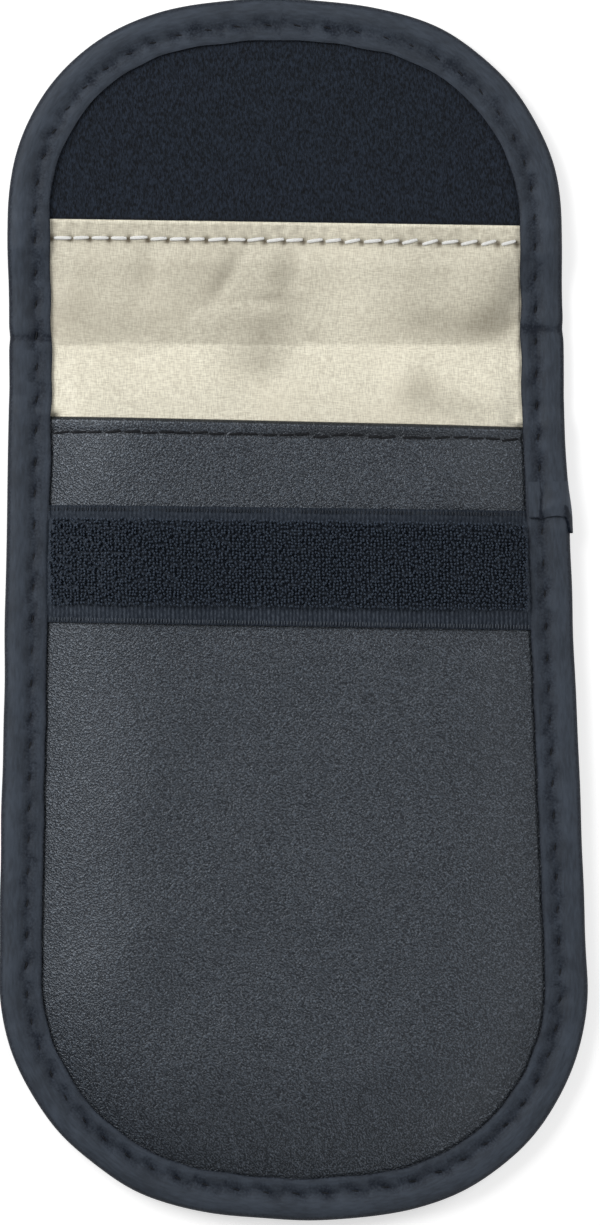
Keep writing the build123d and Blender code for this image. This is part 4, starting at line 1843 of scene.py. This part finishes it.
        # From end to end: share of the length, rise in mm and, below, thickness
        share = np.array([-1.0, -0.9, -0.6, 0.0, 0.6, 0.9, 1.0])
        lift = np.array([-0.5, -0.12, 0.08, 0.12, 0.08, -0.12, -0.5])
        px, py, nx, ny = edge.at((at + share * 0.85) % edge.length)
        inset = self.seam + 0.17 * share
        x, y = px + nx * inset, py + ny * inset
        bottom = self._stack(px, py) + LAYERS.tape - self.groove_depth - self.dimple_depth
        side = places(nx[:, 3], ny[:, 3], 0.0)
        radius = 0.11 * np.array([0.8, 1.0, 1.0, 1.0, 1.0, 1.0, 0.8])
        return Cloth.joined([threads(places(x, y, bottom + lift), side, radius),
                             threads(places(x, y, 0.13 - lift * 0.35), side, radius * 0.75)])

    def _lap(self, edge: EdgeLine) -> Cloth:
        """The tape's end, laid over its start: longer underneath than on top, and puckered.

        Args:
            edge: The edge line.

        Returns:
            The end as a closed sheet that follows the tape's section.
        """
        x, y = edge.points.T
        near = (x > 0.0) & (y < self.lap_top_y + 0.5) & (y > self.lap_under_y - 1.0)
        first, last = np.flatnonzero(near)[[0, -1]]
        share = np.linspace(0.0, 1.0, last - first + 1)[:, None]
        u, z = (part[:, 3:-2] for part in self._shape(edge)[:2])
        columns = u.shape[1]
        around = np.linspace(0.0, 1.0, columns)[None, :]
        end_y = self.lap_end_y + (self.lap_under_y - self.lap_end_y) * smooth(0.51, 0.57, around)
        end_y = end_y - 0.4 * hump(around, 0.2, 0.07) + 0.25 * hump(around, 0.42, 0.06)
        row_y = self.lap_top_y + (end_y - self.lap_top_y) * share
        line = edge.along[first:last + 1]
        along = np.interp(-row_y, -y[first:last + 1], line)
        from_end = along - line[-1]
        thick = self.lap_tape * smooth(0.0, 0.75, share) * (1.0 - 0.35 * hump(around, 0.3, 0.1)) + 0.03
        pucker = (0.16 * hump(from_end, -4.6, 0.5) * hump(around, 0.22, 0.1)
                  + 0.14 * hump(from_end + 8.0 * around, -1.9, 0.55) * hump(around, 0.34, 0.12)
                  - 0.12 * hump(from_end, -3.2, 0.5) * hump(around, 0.27, 0.09))
        curl = 0.06 * smooth(0.66, 1.0, share) * hump(around, 0.6, 0.1)
        line_u, line_z = (np.stack([np.interp(along[:, k], edge.along, part[:, k])
                                    for k in range(columns)], axis=1) for part in (u, z))
        run_u, run_z = np.gradient(line_u, axis=1), np.gradient(line_z, axis=1)
        size = np.maximum(np.hypot(run_u, run_z), 1e-9)
        stray = np.interp(along, edge.along, self._outward(edge))
        layers = []
        for lift in (thick + pucker * smooth(0.1, 0.5, share) + curl, -0.06):
            inset = line_u + run_z / size * lift
            height = np.maximum(line_z - run_u / size * lift, 0.02)
            layers.append(self._placed(edge.at(along), stray, inset, height))
        # Painted shade: a blotchy band along the seam, darker towards the end, a painted shadow along the
        # end's edge, and a painted shadow on the end's underside where it stands out at the outer edge
        blotchy_shade = 0.45 * self.shade_blotches.at(along, around * 14.0) * hump(around, 0.2, 0.12)
        blotchy_shade = blotchy_shade + 0.5 * smooth(0.62, 0.95, share) * hump(around, 0.2, 0.06)
        end = smooth(0.93, 1.0, share) * (0.35 + 0.55 * hump(around, 0.1, 0.12))
        cut = smooth(0.62, 0.7, share) * smooth(0.46, 0.5, around)
        shade = unit(0.55 * hump(inset, self.seam, 0.55) + blotchy_shade + end + cut)
        return thick_cloth(*layers, shade, places(around * 14.0, along, 0.0))

    def build(self) -> None:
        """Makes the tape, its stitches and its lapped end."""
        edge = OUTLINE.edge(self.step)
        cloth = self._tape(edge)
        unfolded = float(cloth.weave[:, 0].max()) / 2
        make_sheet("edge_binding", cloth, self.wardrobe.tape, Rides.BOTH,
                   ("pocket_binding", "fold_binding_left", "fold_binding_right", "flap_binding"),
                   (unfolded, edge.length), Held.FOLDED, "outer_leather_sheet")
        make_piece("binding_stitches", self._stitch_threads(edge), self.wardrobe.dark_thread, Rides.BOTH)
        make_piece("binding_lap_end", self._lap(edge), self.wardrobe.tape, Rides.POCKET, "binding_lap")


# Stage


@dataclass(frozen=True)
class Stage:
    """Pale floor, soft studio light and a camera straight above.

    Attributes:
        pixel: One pixel of the 600 by 1225 picture on the pouch.
        centre_px: Where the pouch's own origin lies in the picture.
        distance: Camera to floor, in metres.
        lamps: Each lamp's name, place and size in metres, and watts.
        sky: Strength of the light from all round.
        floor_glow: How much paler than its own colour the floor shows.
        floor_half: Half the floor's side, in metres.
    """

    picture: tuple[int, int] = (600, 1225)
    pixel: float = 0.16
    centre_px: tuple[float, float] = (289.05, 609.25)
    distance: float = 1.3
    lamps: tuple[tuple[str, tuple[float, float, float], float, float], ...] = (
        ("key", (-0.5, 0.32, 0.46), 0.5, 4.95), ("side", (0.56, 0.3, 0.42), 0.32, 1.75),
        ("fill", (0.42, -0.52, 0.36), 0.36, 0.95))
    sky: float = 0.215
    floor_glow: float = 0.5
    floor_half: float = 3.0

    def _camera(self) -> None:
        """Camera at the photograph's viewing angle."""
        data = bpy.data.cameras.new("camera")
        data.sensor_fit = "VERTICAL"
        data.sensor_height = 24.0
        tall = self.picture[1] * self.pixel * MM
        data.lens = data.sensor_height * self.distance / tall
        data.clip_start, data.clip_end = 0.05, 20.0
        right = (self.picture[0] / 2 - self.centre_px[0]) * self.pixel * MM
        up = (self.centre_px[1] - self.picture[1] / 2) * self.pixel * MM
        camera = in_scene("camera", data)
        camera.location = (right, up, self.distance)
        bpy.context.scene.camera = camera

    def _lamp(self, name: str, place: tuple[float, float, float], size: float, power: float) -> None:
        """A square soft lamp aimed at the pouch.

        Args:
            name: Its name.
            place: Where it stands, in metres.
            size: Its side, in metres.
            power: Its watts.
        """
        data = bpy.data.lights.new(name, "AREA")
        data.shape = "SQUARE"
        data.size = size
        data.energy = power
        lamp = in_scene(name, data)
        lamp.location = place
        lamp.rotation_euler = (-Vector(place)).to_track_quat("-Z", "Y").to_euler()

    def _floor(self) -> None:
        """A pale floor that shows as white but for the pouch's shadow."""
        finish = Finish("floor")
        seen, glossy, through = (finish.node("ShaderNodeLightPath", output=f"Is {ray} Ray")
                                 for ray in ("Camera", "Glossy", "Transmission"))
        glow = finish.node("ShaderNodeEmission", {}, {
            "Color": finish.base, "Strength": (seen + glossy + through) * self.floor_glow})
        card = finish.node("ShaderNodeBsdfDiffuse", {}, {"Color": (0.8, 0.8, 0.8, 1.0)})
        both = finish.node("ShaderNodeAddShader", {}, {0: card, 1: glow})
        finish.node("ShaderNodeOutputMaterial", {}, {"Surface": both})
        mesh = bpy.data.meshes.new("floor")
        half, height = self.floor_half, -0.00005
        mesh.from_pydata([(-half, -half, height), (half, -half, height), (half, half, height),
                          (-half, half, height)], [], [(0, 1, 2, 3)])
        mesh.materials.append(finish.material)
        in_scene("floor", mesh)

    def _world(self) -> None:
        """Even pale surroundings, white where the camera sees them."""
        world = bpy.data.worlds.new("surroundings")
        bpy.context.scene.world = world
        tree = ShaderTree(world)
        seen = tree.node("ShaderNodeLightPath", output="Is Camera Ray")
        sky = tree.node("ShaderNodeBackground", {}, {"Color": (1.0, 1.0, 1.0, 1.0),
                                                     "Strength": seen * (1.0 - self.sky) + self.sky})
        tree.node("ShaderNodeOutputWorld", {}, {"Surface": sky})

    def build(self) -> None:
        """Sets the stage."""
        scene = bpy.context.scene
        scene.view_settings.view_transform = "Standard"
        self._camera()
        self._world()
        self._floor()
        for name, place, size, power in self.lamps:
            self._lamp(name, place, size, power)
        LOG.info("stage is set")


def main() -> None:
    """Builds the pouch and its stage in order."""
    logging.basicConfig(level=logging.INFO, format="%(message)s")
    wardrobe = Wardrobe()
    for part in (BackLayers(wardrobe), LoopPanel(wardrobe), Lining(wardrobe), FrontPanel(wardrobe),
                 HookTape(wardrobe), EdgeBinding(wardrobe)):
        part.build()
        LOG.info("%s built", type(part).__name__)
    Stage().build()


if __name__ == "__main__":
    main()
